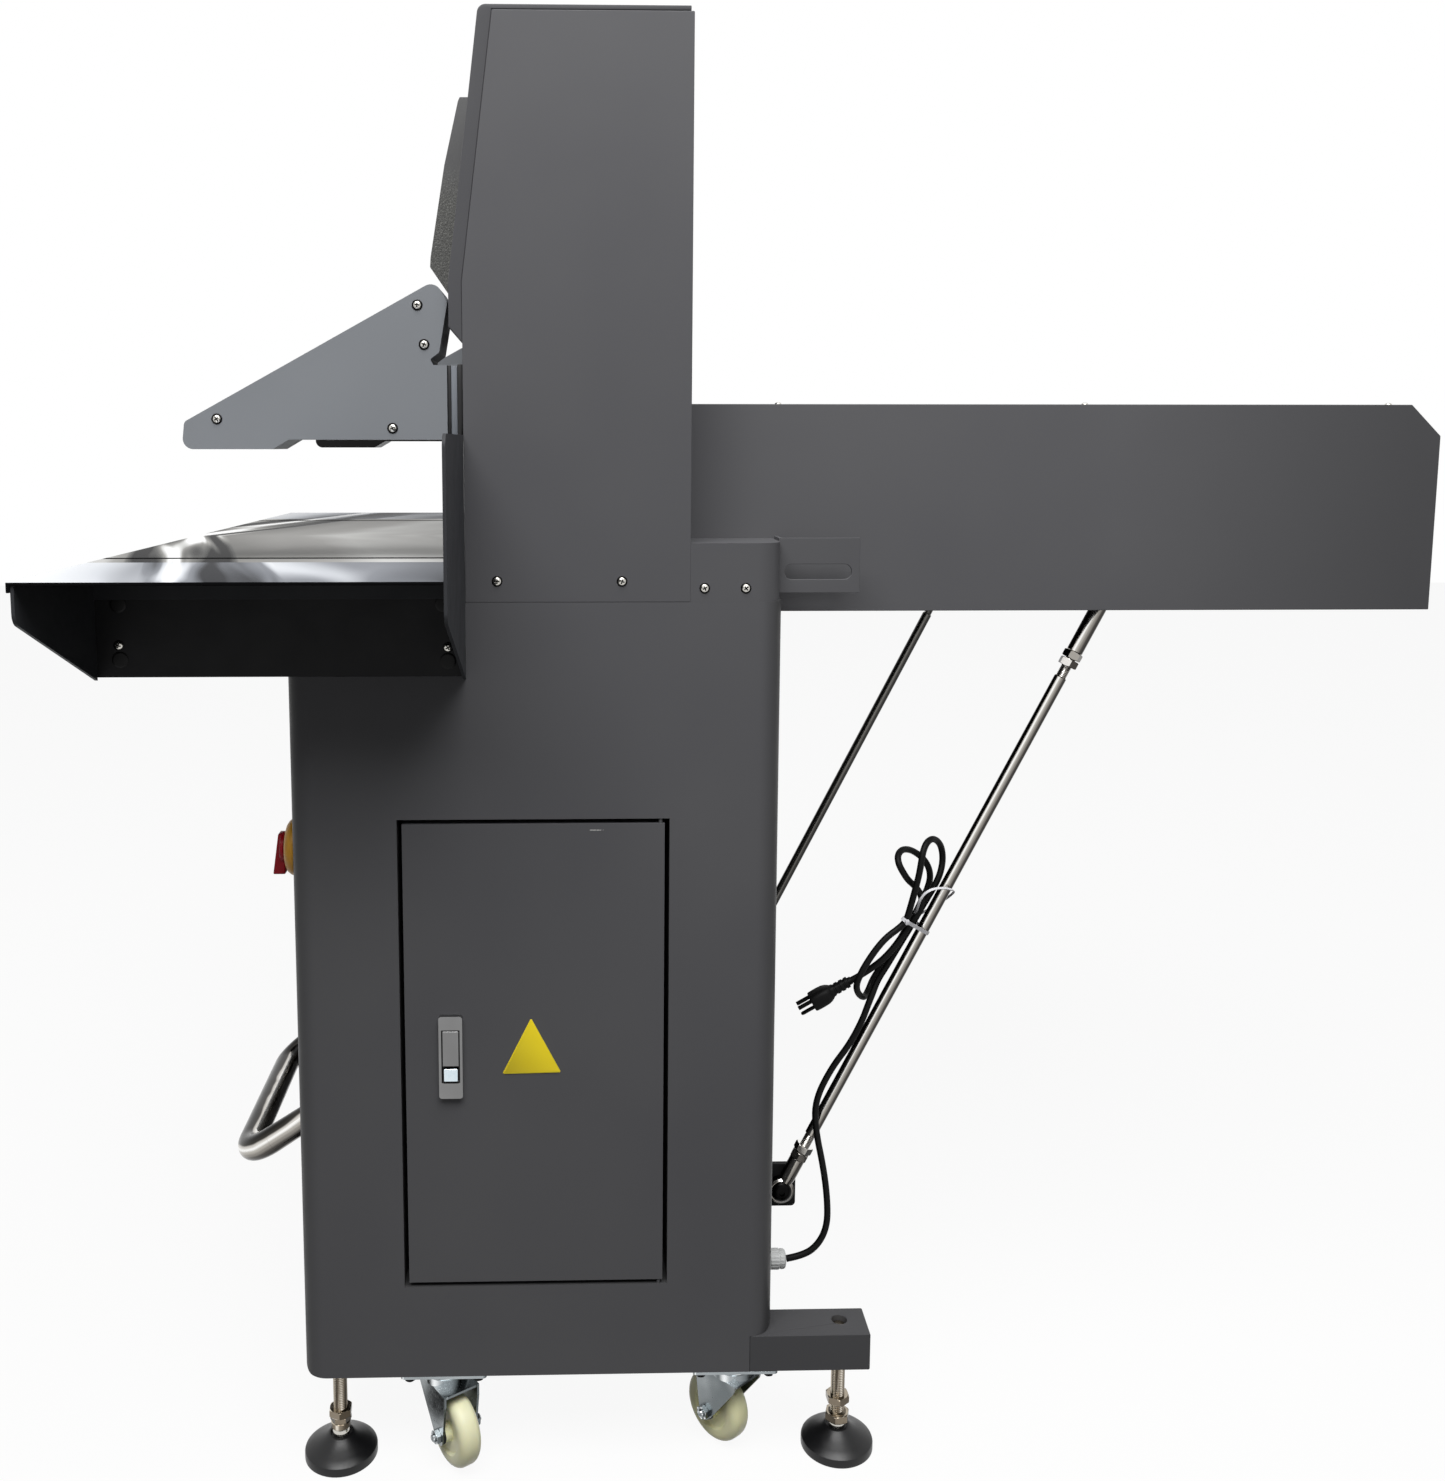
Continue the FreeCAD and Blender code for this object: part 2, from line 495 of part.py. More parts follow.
# Side tables on their brackets
for name, side in sides:
    x0, x1 = span(side, halfWidth, halfWidth + wingWidth)
    wing = newBody("wing_table_" + name)
    y0 = front - tableReach
    y1 = front + headFront - sheetThick
    lip = [(y0, tableTop), (y0, tableTop - 9), (y0 + sheetThick, tableTop - 9), (y0 + sheetThick, tableTop - sheetThick),
           (y1, tableTop - sheetThick), (y1, tableTop)]
    pad(wing, "YZ_Plane", x0, "Sizes.wingWidth", [lip])
    keep(wing)
    bracket = newBody("wing_bracket_" + name)
    s = side
    under = tableTop - sheetThick
    backPlate = [(s * halfWidth, wingRootBottom), (s * (halfWidth + wingWidth), wingOuterBottom, 12),
                 (s * (halfWidth + wingWidth), wingBackTop, 12), (s * halfWidth, wingBackTop)]
    gusset = [(s * halfWidth, wingRootBottom), (s * (halfWidth + wingWidth - 2), wingOuterBottom, 12),
              (s * (halfWidth + wingWidth - 2), under), (s * halfWidth, under)]
    pad(bracket, "XZ_Plane", -y1, "Sizes.sheetThick", [backPlate], reverse=True)
    pad(bracket, "YZ_Plane", halfWidth if s > 0 else -halfWidth - sheetThick, "Sizes.sheetThick",
        [rect(y0 + 2 * sheetThick, tableTop - tableThick, y1 + 1, under)])
    pad(bracket, "XZ_Plane", -(y0 + sheetThick), "Sizes.sheetThick", [gusset], reverse=True)
    keep(bracket)

# Head: two columns, the housing between them, the wrap-round cover and the control panel
sideFace = [(front + headFront, cabinetRearTop), (front + headRear, cabinetRearTop), (front + headRear, headTop),
            (front + headFront + slantBack, headTop), (front + headFront, slantStart)]
for name, side in sides:
    x0, x1 = span(side, throatHalf, halfWidth)
    column = newBody("head_column_" + name)
    pad(column, "YZ_Plane", x0, "Sizes.columnWidth", [sideFace])
    keep(column)
housing = newBody("head_housing")
pad(housing, "YZ_Plane", -throatHalf, 2 * throatHalf,
    [[(front + headFront, throatTop), (front + headRear, throatTop), (front + headRear, headTop),
      (front + headFront + slantBack, headTop), (front + headFront, slantStart)]])
keep(housing)
cover = newBody("head_cover")
f = front + headFront
coverProfile = [(f, throatTop - coverReturn), (f - coverFront, throatTop + 1), (f - coverFront, slantStart),
                (f - coverFront + slantBack, headTop + coverTop, 8), (front + headRear - 3, headTop + coverTop),
                (front + headRear - 3, headTop), (f + slantBack, headTop), (f, slantStart)]
pad(cover, "YZ_Plane", -halfWidth, "Sizes.machineWidth", [coverProfile])
keep(cover)
panel = newBody("control_panel")
surface = f - coverFront
lean = slantBack / (headTop + coverTop - slantStart)


def onCover(z):
    return surface + max(0, z - slantStart) * lean


panelTop = headTop - panelDrop
panelLow = panelTop - panelHigh
chin = surface - panelProud
panelProfile = [(surface, panelLow - 60), (chin, panelLow, 2), (chin + 0.7, panelLow + 11, 4),
                (chin + 17.5, panelTop - 73, 8), (chin + 33.5, panelTop - 4, 2), (chin + 35.5, panelTop),
                (onCover(panelTop), panelTop), (surface, slantStart)]
pad(panel, "YZ_Plane", -panelWidth / 2, "Sizes.panelWidth", [panelProfile])
keep(panel)

# Clamp beam and knife between the columns
clampFront = front + headFront + 62
carrierFront = front + headFront + 16
keep(box("clamp_beam", -throatHalf + beamPlay, throatHalf - beamPlay, clampFront, clampFront + 94,
         throatTop - clampDrop, throatTop))
keep(box("knife_carrier", -throatHalf + beamPlay, throatHalf - beamPlay, carrierFront, carrierFront + carrierThick,
         throatTop - carrierDrop, throatTop))
knife = newBody("knife")
knifeFront = carrierFront + carrierThick
pad(knife, "YZ_Plane", -throatHalf + 20, 2 * throatHalf - 40,
    [[(knifeFront, throatTop - 25), (knifeFront, throatTop - carrierDrop - 8),
      (knifeFront + knifeThick, throatTop - carrierDrop - 32), (knifeFront + knifeThick, throatTop - 25)]])
keep(knife)

# Guard arms with the mounting strips behind them
armRear = 163.3
armProfile = [(-93.5, 1071.2, 10), (-90.5, 1097.5, 6), (153, 1232.2, 11), (armRear + 1.2, 1212, 8), (156.1, 1164, 2),
              (147.1, 1157.4, 2), (150.3, 1152), (armRear, 1152), (armRear, 1080.5), (9.6, 1080.5), (-6.2, 1071.2)]
for name, side in sides:
    x1 = halfWidth - armInset
    x0, x1 = span(side, x1 - armThick, x1)
    arm = newBody("guard_arm_" + name)
    profile = [(front + p[0],) + tuple(p[1:]) for p in armProfile]
    pad(arm, "YZ_Plane", x0, "Sizes.armThick", [profile])
    strip = [(front + armRear - 1, 1082), (front + headFront, 1082), (front + headFront, 1155),
             (front + armRear - 1, 1151)]
    pad(arm, "YZ_Plane", x0 + 4, armThick - 8, [strip])
    keep(arm)

# Rear corner blocks, slotted plates and the covered rear table
panelOut = halfWidth - rearInset
for name, side in sides:
    x0, x1 = span(side, panelOut, halfWidth)
    block = newBody("rear_block_" + name)
    outer = x1 if side > 0 else x0
    inner = x0 if side > 0 else x1
    pad(block, "XY_Plane", cabinetRearTop, "Sizes.blockTop - Sizes.cabinetRearTop",
        [[(inner, front + headRear), (outer, front + headRear), (outer, blockEnd, cabinetCorner), (inner, blockEnd)]])
    keep(block)
    px = halfWidth - slotPlateInset
    x0, x1 = span(side, px - slotPlateThick, px)
    slotted = newBody("slotted_plate_" + name)
    z1 = blockTop + slotPlateRise
    z0 = z1 - slotPlateHeight
    outer = px * side
    inner = (px - slotPlateThick) * side
    flange = (px - slotFlange) * side
    pad(slotted, "XY_Plane", z0, "Sizes.slotPlateHeight",
        [[(outer, blockEnd), (outer, blockEnd + slotPlateLength), (inner, blockEnd + slotPlateLength),
          (inner, blockEnd + slotPlateThick), (flange, blockEnd + slotPlateThick), (flange, blockEnd)]])
    slotY = blockEnd + slotPlateThick + slotStart
    slotMiddle = z1 - slotDrop
    slot = rect(slotY, slotMiddle - slotHeight / 2, blockEnd + slotStart + slotLength, slotMiddle + slotHeight / 2,
                slotHeight / 2 - 0.01)
    pocket(slotted, "YZ_Plane", x0 - 1, slotPlateThick + 2, [slot], reverse=True)
    keep(slotted)
rearTable = newBody("rear_table")
pad(rearTable, "XY_Plane", tableTop - rearPlateThick, "Sizes.rearPlateThick",
    [rect(-panelOut + sheetThick, front + headRear, panelOut - sheetThick, rearEnd - sheetThick)])
rodTopY = cabinetDepth + rodTopOut
rodLowY = cabinetDepth + rodLowOut
lugInner = rodX - eyeHalf - 1 - lugThick
for name, side in sides:
    x0, x1 = span(side, lugInner, lugInner + lugThick)
    lug = [(front + rodTopY - 24, tableTop - rearPlateThick), (front + rodTopY - 16, rodTopZ - 18, 6),
           (front + rodTopY + 16, rodTopZ - 18, 6), (front + rodTopY + 24, tableTop - rearPlateThick)]
    pad(rearTable, "YZ_Plane", x0, "Sizes.lugThick", [lug])
    pocket(rearTable, "YZ_Plane", x0 - 1, lugThick + 2, circles=[(front + rodTopY, rodTopZ, rodPin + pinPlay)],
           reverse=True)
keep(rearTable)
for name, side in sides:
    x0, x1 = span(side, panelOut - sheetThick, panelOut)
    sidePanel = newBody("rear_side_" + name)
    pad(sidePanel, "YZ_Plane", x0, "Sizes.sheetThick",
        [[(front + headRear, cabinetRearTop), (back, cabinetRearTop), (back, rearPanelBottom),
          (rearEnd, rearPanelBottom), (rearEnd, rearPanelTop - rearChamfer), (rearEnd - rearChamfer, rearPanelTop),
          (front + headRear, rearPanelTop)]])
    keep(sidePanel)
rearCover = newBody("rear_cover")
t = sheetThick
coverLoop = [(front + headRear, rearPanelTop), (front + headRear, rearPanelTop - t),
             (rearEnd - rearChamfer - 1.2, rearPanelTop - t), (rearEnd - t, rearPanelTop - rearChamfer - 1.2),
             (rearEnd - t, rearPanelBottom), (rearEnd, rearPanelBottom), (rearEnd, rearPanelTop - rearChamfer),
             (rearEnd - rearChamfer, rearPanelTop)]
pad(rearCover, "YZ_Plane", -panelOut + t, 2 * (panelOut - t), [coverLoop])
keep(rearCover)
gauge = newBody("back_gauge")
gaugeY = back + gaugeOut
pad(gauge, "YZ_Plane", -throatHalf + 30, 2 * throatHalf - 60,
    [[(gaugeY, tableTop), (gaugeY + 60, tableTop), (gaugeY + 60, tableTop + 12), (gaugeY + 14, tableTop + 12),
      (gaugeY + 14, tableTop + 80), (gaugeY, tableTop + 80)]])
keep(gauge)

# Tie rods with their ends and nuts, and the lower brackets
rodLength = math.hypot(rodTopY - rodLowY, rodTopZ - rodLowZ)
rodLean = math.degrees(math.atan2(rodTopY - rodLowY, rodTopZ - rodLowZ))
for name, side in sides:
    rod = newBody("tie_rod_" + name)
    pad(rod, "XY_Plane", lowShank, rodLength - lowShank - topShank, circles=[(0, 0, rodRadius - 1.6)])
    lowTube = lowShank + nutPair + threadLong
    pad(rod, "XY_Plane", lowTube, rodLength - 2 * nutPair - 2 * threadLong - lowShank - topShank,
        circles=[(0, 0, rodRadius)])
    pad(rod, "XY_Plane", 5, lowShank - 5, circles=[(0, 0, shankRadius)])
    pad(rod, "XY_Plane", lowShank, "Sizes.nutPair", [hexagon(rodNut)])
    pad(rod, "XY_Plane", rodLength - topShank, topShank - 5, circles=[(0, 0, shankRadius)])
    pad(rod, "XY_Plane", rodLength - topShank - nutPair, "Sizes.nutPair", [hexagon(rodNut)])
    for pinHeight in (0, rodLength):
        pad(rod, "YZ_Plane", -eyeHalf, 2 * eyeHalf, circles=[(0, pinHeight, eyeRadius)])
        x0, x1 = span(side, -(eyeHalf + lugThick + 3), eyeHalf + 1)
        pad(rod, "YZ_Plane", x0, x1 - x0, circles=[(0, pinHeight, rodPin)])
        x0, x1 = span(side, eyeHalf, eyeHalf + 5)
        pad(rod, "YZ_Plane", x0, x1 - x0, circles=[(0, pinHeight, 2 * rodPin)])
    rod.Placement = FreeCAD.Placement(FreeCAD.Vector(side * rodX, front + rodLowY, rodLowZ),
                                      FreeCAD.Rotation(FreeCAD.Vector(1, 0, 0), -rodLean))
    keep(rod)
    bracket = newBody("rod_bracket_" + name)
    x0, x1 = span(side, lugInner, lugInner + lugThick)
    pad(bracket, "YZ_Plane", x0, "Sizes.lugThick",
        [[(back, rodLowZ - 25), (back + rodLowOut + 18, rodLowZ - 25, 5), (back + rodLowOut + 18, rodLowZ + 25, 5),
          (back, rodLowZ + 25)]])
    pocket(bracket, "YZ_Plane", x0 - 1, lugThick + 2, circles=[(front + rodLowY, rodLowZ, rodPin + pinPlay)],
           reverse=True)
    keep(bracket)

# Main switch on the cabinet front
base = newBody("switch_base")
pad(base, "XZ_Plane", -front, "Sizes.switchDeep",
    [rect(switchX - switchSize / 2, switchZ - switchSize / 2, switchX + switchSize / 2,
          switchZ + switchSize / 2, 3)])
pad(base, "XZ_Plane", -front + switchDeep, 9, circles=[(switchX, switchZ, spindle)])
keep(base)
grip = newBody("switch_handle")
pad(grip, "XZ_Plane", -front + switchDeep + gap, 6, circles=[(switchX, switchZ, 16)])
pad(grip, "XZ_Plane", -front + switchDeep + gap, 13,
    [rect(switchX - 6, switchZ - 22, switchX + 6, switchZ + 12, 3)])
pocket(grip, "XZ_Plane", -front + switchDeep, 10, circles=[(switchX, switchZ, spindle + pinPlay)], reverse=True)
keep(grip)

# Foot bar bent from one tube, with its pivot
bar = newBody("foot_bar")
noseY = front + pedalNoseY
pivotY = front + pedalPivotY
lean = math.atan2(pedalPivotZ - pedalNoseZ, pedalPivotY - pedalNoseY)
armLength = math.hypot(pedalPivotZ - pedalNoseZ, pedalPivotY - pedalNoseY)
path = newSketch(bar, "XY_Plane", 0)
corners = [(pedalLeft, armLength), (pedalLeft, 0, bend), (pedalRight, 0, bend), (pedalRight, armLength)]
p = [FreeCAD.Vector(c[0], c[1], 0) for c in corners]
path.addGeometry(Part.LineSegment(p[0], FreeCAD.Vector(pedalLeft, bend, 0)), False)
k = bend * (1 - math.cos(math.pi / 4))
path.addGeometry(Part.Arc(FreeCAD.Vector(pedalLeft, bend, 0), FreeCAD.Vector(pedalLeft + k, k, 0),
                          FreeCAD.Vector(pedalLeft + bend, 0, 0)), False)
path.addGeometry(Part.LineSegment(FreeCAD.Vector(pedalLeft + bend, 0, 0),
                                  FreeCAD.Vector(pedalRight - bend, 0, 0)), False)
path.addGeometry(Part.Arc(FreeCAD.Vector(pedalRight - bend, 0, 0), FreeCAD.Vector(pedalRight - k, k, 0),
                          FreeCAD.Vector(pedalRight, bend, 0)), False)
path.addGeometry(Part.LineSegment(FreeCAD.Vector(pedalRight, bend, 0), p[3]), False)
section = newSketch(bar, "XZ_Plane", -armLength, circles=[(pedalLeft, 0, pedalRadius)])
pipe = bar.newObject("PartDesign::AdditivePipe", "FootBarPipe")
pipe.Profile = section
pipe.Spine = (path, ["Edge1", "Edge2", "Edge3", "Edge4", "Edge5"])
doc.recompute()
for armX in (pedalLeft, pedalRight):
    pad(bar, "YZ_Plane", armX - pedalRadius - slotPlay - 18, 2 * (pedalRadius + slotPlay + 18),
        circles=[(armLength, 0, pedalPin)])
bar.Placement = FreeCAD.Placement(FreeCAD.Vector(0, noseY, pedalNoseZ),
                                  FreeCAD.Rotation(FreeCAD.Vector(1, 0, 0), math.degrees(lean)))
keep(bar)

# Mains cord: gland, tube, hung hank and plug
gland = newBody("cord_gland")
revolve(gland, "XZ_Plane", 0, [(0, 0), (glandRadius, 0), (glandRadius, glandLong - 9), (glandRadius - 1, glandLong - 3, 3),
                               (glandRadius - 4, glandLong), (0, glandLong)])
gland.Placement = FreeCAD.Placement(FreeCAD.Vector(glandX, back, glandZ),
                                    FreeCAD.Rotation(FreeCAD.Vector(1, 0, 0), -90))
keep(gland)


def cordTube(points, radius):
    # Straight runs joined by tangent arcs
    vectors = [FreeCAD.Vector(*point) for point in points]
    edges = []
    start = vectors[0]
    for i in range(1, len(vectors) - 1):
        here = vectors[i]
        one = vectors[i - 1] - here
        two = vectors[i + 1] - here
        turn = math.pi - one.getAngle(two)
        reach = 0.45 * min(one.Length, two.Length)
        bendRadius = reach / math.tan(turn / 2)
        print("cord bend", i, round(bendRadius, 1), round(math.degrees(turn), 1))
        enter = here + one.normalize() * reach
        leave = here + two.normalize() * reach
        bisector = (one.normalize() + two.normalize()).normalize()
        middle = here + bisector * (bendRadius / math.cos(turn / 2) - bendRadius)
        edges.append(Part.LineSegment(start, enter).toShape())
        edges.append(Part.Arc(enter, middle, leave).toShape())
        start = leave
    edges.append(Part.LineSegment(start, vectors[-1]).toShape())
    wire = Part.Wire(edges)
    direction = (vectors[1] - vectors[0]).normalize()
    ring = Part.Wire([Part.Circle(vectors[0], direction, radius).toShape()])
    tube = wire.makePipeShell([ring], True, False)
    print("cord volume ratio", round(tube.Volume / (math.pi * radius ** 2 * wire.Length), 4), "length", round(wire.Length))
    return tube


g = back + glandLong + 1
r = back + rodLowOut
cordPoints = [(glandX, g, glandZ), (glandX, g + 19.7, glandZ + 3.5), (glandX - 1.5, g + 35.7, glandZ + 15.5),
              (glandX - 4.5, g + 45.2, glandZ + 34.2), (glandX - 8.5, g + 46.1, glandZ + 59.2),
              (glandX - 14, g + 42.5, glandZ + 94), (rodX + 14.5, r + 35, rodLowZ + 80),
              (rodX + 9.5, r + 35.5, rodLowZ + 110), (rodX + 6.5, r + 53, rodLowZ + 145),
              (rodX + 6, r + 73.5, rodLowZ + 173), (rodX + 6, r + 87, rodLowZ + 201),
              (rodX + 6, r + 92, rodLowZ + 223.5)]
cord = doc.addObject("Part::Feature", "mains_cord")
cord.Label = "mains_cord"
cord.Shape = cordTube(cordPoints, cordRadius)
keep(cord)
hankLow = rodLowZ + 224.7
hank = newBody("cord_hank")
pad(hank, "YZ_Plane", rodX - hankHalf, 2 * hankHalf,
    [[(r + 82, hankLow), (r + 100, hankLow), (r + 133, rodLowZ + 280), (r + 165, rodLowZ + 343, 8),
      (r + 181, rodLowZ + 372, 10), (r + 181, rodLowZ + 396, 8), (r + 160, rodLowZ + 409, 8),
      (r + 132, rodLowZ + 400, 8), (r + 118, rodLowZ + 384, 6), (r + 120, rodLowZ + 350), (r + 94, rodLowZ + 281),
      (r + 78, rodLowZ + 251), (r + 75, hankLow + 10, 4)]])
keep(hank)
plug = newBody("cord_plug")
pad(plug, "YZ_Plane", rodX - plugHalf, 2 * plugHalf,
    [[(r + 76.9, rodLowZ + 246.5), (r + 75.5, rodLowZ + 239), (r + 59, rodLowZ + 226), (r + 48, rodLowZ + 211),
      (r + 20, rodLowZ + 203), (r + 11, rodLowZ + 216), (r + 26, rodLowZ + 235), (r + 39, rodLowZ + 243),
      (r + 58, rodLowZ + 244)]])
keep(plug)

doc.recompute()
os.makedirs("parts", exist_ok=True)
for node in nodes:
    for item in doc.Objects:
        if "Invalid" in item.State or "Error" in item.State:
            raise RuntimeError("object not valid: " + item.Label + " " + str(item.State))
    break
for node in nodes:
    shape = node.Shape
    if shape.isNull() or not shape.isValid():
        raise RuntimeError("shape not valid: " + node.Label)
    if len(shape.Solids) != 1:
        raise RuntimeError("not one solid: " + node.Label + " " + str(len(shape.Solids)))
    shape.exportStep("parts/%s.step" % node.Label)
print("nodes", len(nodes))
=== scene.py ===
import bpy
import bmesh
import json
import math
from mathutils import Matrix, Vector


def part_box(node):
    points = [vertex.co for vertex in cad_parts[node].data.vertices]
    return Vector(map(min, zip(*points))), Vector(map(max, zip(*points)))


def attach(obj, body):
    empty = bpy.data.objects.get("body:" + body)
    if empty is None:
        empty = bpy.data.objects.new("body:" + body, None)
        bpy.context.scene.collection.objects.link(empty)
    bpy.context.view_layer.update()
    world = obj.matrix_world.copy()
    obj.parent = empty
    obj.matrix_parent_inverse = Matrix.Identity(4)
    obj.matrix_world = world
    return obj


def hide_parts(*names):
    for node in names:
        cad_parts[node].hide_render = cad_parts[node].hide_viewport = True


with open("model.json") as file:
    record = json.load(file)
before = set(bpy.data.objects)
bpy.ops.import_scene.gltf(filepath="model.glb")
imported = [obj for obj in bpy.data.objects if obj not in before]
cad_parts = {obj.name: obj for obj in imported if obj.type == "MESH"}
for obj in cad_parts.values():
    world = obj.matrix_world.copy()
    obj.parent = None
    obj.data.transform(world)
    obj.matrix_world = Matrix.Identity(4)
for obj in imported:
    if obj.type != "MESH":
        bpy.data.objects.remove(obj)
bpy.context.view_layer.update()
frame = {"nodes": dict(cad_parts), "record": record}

print("frame loaded")


# Colours and materials

def linear(colour):
    # sRGB hex to the linear values the shaders take
    values = [int(colour[i:i + 2], 16) / 255 for i in (1, 3, 5)]
    return tuple(v / 12.92 if v <= 0.04045 else ((v + 0.055) / 1.055) ** 2.4 for v in values) + (1,)


def connect(tree, node, inputs):
    # sockets are linked, plain values are set
    for name, value in inputs.items():
        if isinstance(value, bpy.types.NodeSocket):
            tree.links.new(value, node.inputs[name])
        else:
            node.inputs[name].default_value = value


def addNode(tree, kind, inputs=None, give=None, **settings):
    # returns the node, or the one output that give names
    node = tree.nodes.new(kind)
    for name, value in settings.items():
        setattr(node, name, value)
    connect(tree, node, inputs or {})
    return node if give is None else node.outputs[give]


def startMaterial(name):
    material = bpy.data.materials.new(name)
    material.use_nodes = True
    tree = material.node_tree
    return material, tree, tree.nodes["Principled BSDF"], addNode(tree, "ShaderNodeTexCoord", give="Object")


def pattern(tree, place, sizeMm, low=0, high=1, detail=3, rough=0.5):
    # an uneven pattern of a real size, spread from low to high
    grit = addNode(tree, "ShaderNodeTexNoise", {"Vector": place, "Scale": 1000 / sizeMm, "Detail": detail,
                                                "Roughness": rough}, "Fac")
    return addNode(tree, "ShaderNodeMapRange", {"Value": grit, "From Min": 0.3, "From Max": 0.7, "To Min": low,
                                                "To Max": high}, "Result")


def relief(tree, place, sizeMm, depthMm, detail=2, rough=0.5):
    # the same pattern as bumps of a real depth
    grit = addNode(tree, "ShaderNodeTexNoise", {"Vector": place, "Scale": 1000 / sizeMm, "Detail": detail,
                                                "Roughness": rough}, "Fac")
    return addNode(tree, "ShaderNodeBump", {"Height": grit, "Distance": depthMm / 1000, "Strength": 1}, "Normal")


def setStops(bands, stops):
    # (position, hex colour) pairs on a colour ramp
    while len(bands.color_ramp.elements) < len(stops):
        bands.color_ramp.elements.new(0.5)
    for element, (position, colour) in zip(bands.color_ramp.elements, stops):
        element.position = position
        element.color = linear(colour)
    return bands.outputs["Color"]


def markNear(tree, place, centreMm, sizeMm, sharpness=0.35):
    # 1 inside a ragged ellipsoid about a point of the surface, 0 outside
    away = addNode(tree, "ShaderNodeVectorMath", {0: place, 1: tuple(c / 1000 for c in centreMm)}, 0,
                   operation="SUBTRACT")
    scaled = addNode(tree, "ShaderNodeVectorMath", {0: away, 1: tuple(1000 / s for s in sizeMm)}, 0,
                     operation="MULTIPLY")
    length = addNode(tree, "ShaderNodeVectorMath", {0: scaled}, "Value", operation="LENGTH")
    fray = pattern(tree, place, 2.5, -0.4, 0.4)
    ragged = addNode(tree, "ShaderNodeMath", {0: length, 1: fray}, 0, operation="ADD")
    return addNode(tree, "ShaderNodeMapRange", {"Value": ragged, "From Min": 1 - sharpness, "From Max": 1,
                                                "To Min": 1, "To Max": 0}, "Result")


def paintedShadeWithin(material, limits, colour):
    # painted shade: another colour where the place meets all limits of (axis, test, mm); across the machine both sides
    # count alike
    tree = material.node_tree
    shader = tree.nodes["Principled BSDF"]
    place = addNode(tree, "ShaderNodeTexCoord", give="Object")
    spot = addNode(tree, "ShaderNodeSeparateXYZ", {"Vector": place}).outputs
    inside = 1
    for axis, test, edge in limits:
        level = addNode(tree, "ShaderNodeMath", {0: spot[axis]}, 0, operation="ABSOLUTE") if axis == "X" else spot[axis]
        met = addNode(tree, "ShaderNodeMath", {0: level, 1: edge / 1000}, 0, operation=test)
        inside = addNode(tree, "ShaderNodeMath", {0: inside, 1: met}, 0, operation="MULTIPLY")
    plain = shader.inputs["Base Color"].links[0].from_socket
    mixed = addNode(tree, "ShaderNodeMix", {"Factor": inside, "A": plain, "B": linear(colour)}, "Result",
                    data_type="RGBA")
    connect(tree, shader, {"Base Color": mixed})
    return material


coat = {"driftMm": 260, "smearMm": 45, "peelMm": 1.2, "peelDepthMm": 0.02, "shine": 0.12, "scratchMm": (6, 7.5, 0.55),
        "bareMetal": "#c9c9c6", "farMm": (350, 660)}


def powderCoat(name, colour, dark, roughness=0.42, scratchAt=None, corner=None, farEndShade=None):
    # sprayed powder, baked: fine orange peel, a slow drift in shade, faint smears of handling
    material, tree, shader, place = startMaterial(name)
    layers = [(pattern(tree, place, coat["driftMm"], detail=2), linear(dark), linear(colour))]
    if corner:  # painted shade: the rounded corners darker, as they turn away from the light
        normal = addNode(tree, "ShaderNodeTexCoord", give="Normal")
        across = addNode(tree, "ShaderNodeSeparateXYZ", {"Vector": normal}, "X")
        side = addNode(tree, "ShaderNodeMath", {0: across}, 0, operation="ABSOLUTE")
        flat = addNode(tree, "ShaderNodeMapRange", {"Value": side, "From Min": 0.62, "From Max": 0.995}, "Result")
        layers.append((flat, linear(corner), None))
    if farEndShade:  # painted shade: the far end of a long panel darker, as it lies away from the light
        along = addNode(tree, "ShaderNodeSeparateXYZ", {"Vector": place}, "Y")
        far = addNode(tree, "ShaderNodeMapRange", {"Value": along, "From Min": coat["farMm"][0] / 1000,
                                                   "From Max": coat["farMm"][1] / 1000}, "Result")
        layers.append((far, None, linear(farEndShade)))
    if scratchAt:  # worn through to bright metal
        layers.append((markNear(tree, place, scratchAt, coat["scratchMm"]), None, linear(coat["bareMetal"])))
    mixed = None
    for share, first, second in layers:  # a layer without one of its colours takes what lies under it
        mixed = addNode(tree, "ShaderNodeMix", {"Factor": share, "A": first or mixed, "B": second or mixed}, "Result",
                        data_type="RGBA")
    smears = pattern(tree, place, coat["smearMm"], roughness - 0.05, roughness + 0.06, 4, 0.6)
    connect(tree, shader, {"Base Color": mixed, "Specular IOR Level": coat["shine"], "Roughness": smears,
                           "Normal": relief(tree, place, coat["peelMm"], coat["peelDepthMm"])})
    return material


brushed = {"lineMm": 0.35, "lineDepthMm": 0.004, "cloudMm": 120}


def brushedSteel(name, colour, dark, roughness, stretch):
    # brushed one way with a fine grit: parallel scratches over soft clouding; stretch lengthens them along each axis
    material, tree, shader, place = startMaterial(name)
    drawn = addNode(tree, "ShaderNodeMapping", {"Vector": place, "Scale": tuple(1 / s for s in stretch)}, "Vector")
    mixed = addNode(tree, "ShaderNodeMix", {"Factor": pattern(tree, place, brushed["cloudMm"]), "A": linear(dark),
                                            "B": linear(colour)}, "Result", data_type="RGBA")
    lines = pattern(tree, drawn, brushed["lineMm"], roughness - 0.04, roughness + 0.06, 3, 0.6)
    connect(tree, shader, {"Metallic": 1, "Base Color": mixed, "Roughness": lines,
                           "Normal": relief(tree, drawn, brushed["lineMm"], brushed["lineDepthMm"], 3, 0.6)})
    return material


sheet = {"slant": 15, "fadeMm": 12, "shoulderMm": 30, "easeMm": 150, "edge": "#131314", "roughness": 0.1,
         "clouds": (7, 3, 0.6, 0.5), "reflectionStreaks": (26, 14, 0.8, 0.54)}  # each pattern's scale, length, twist and middle


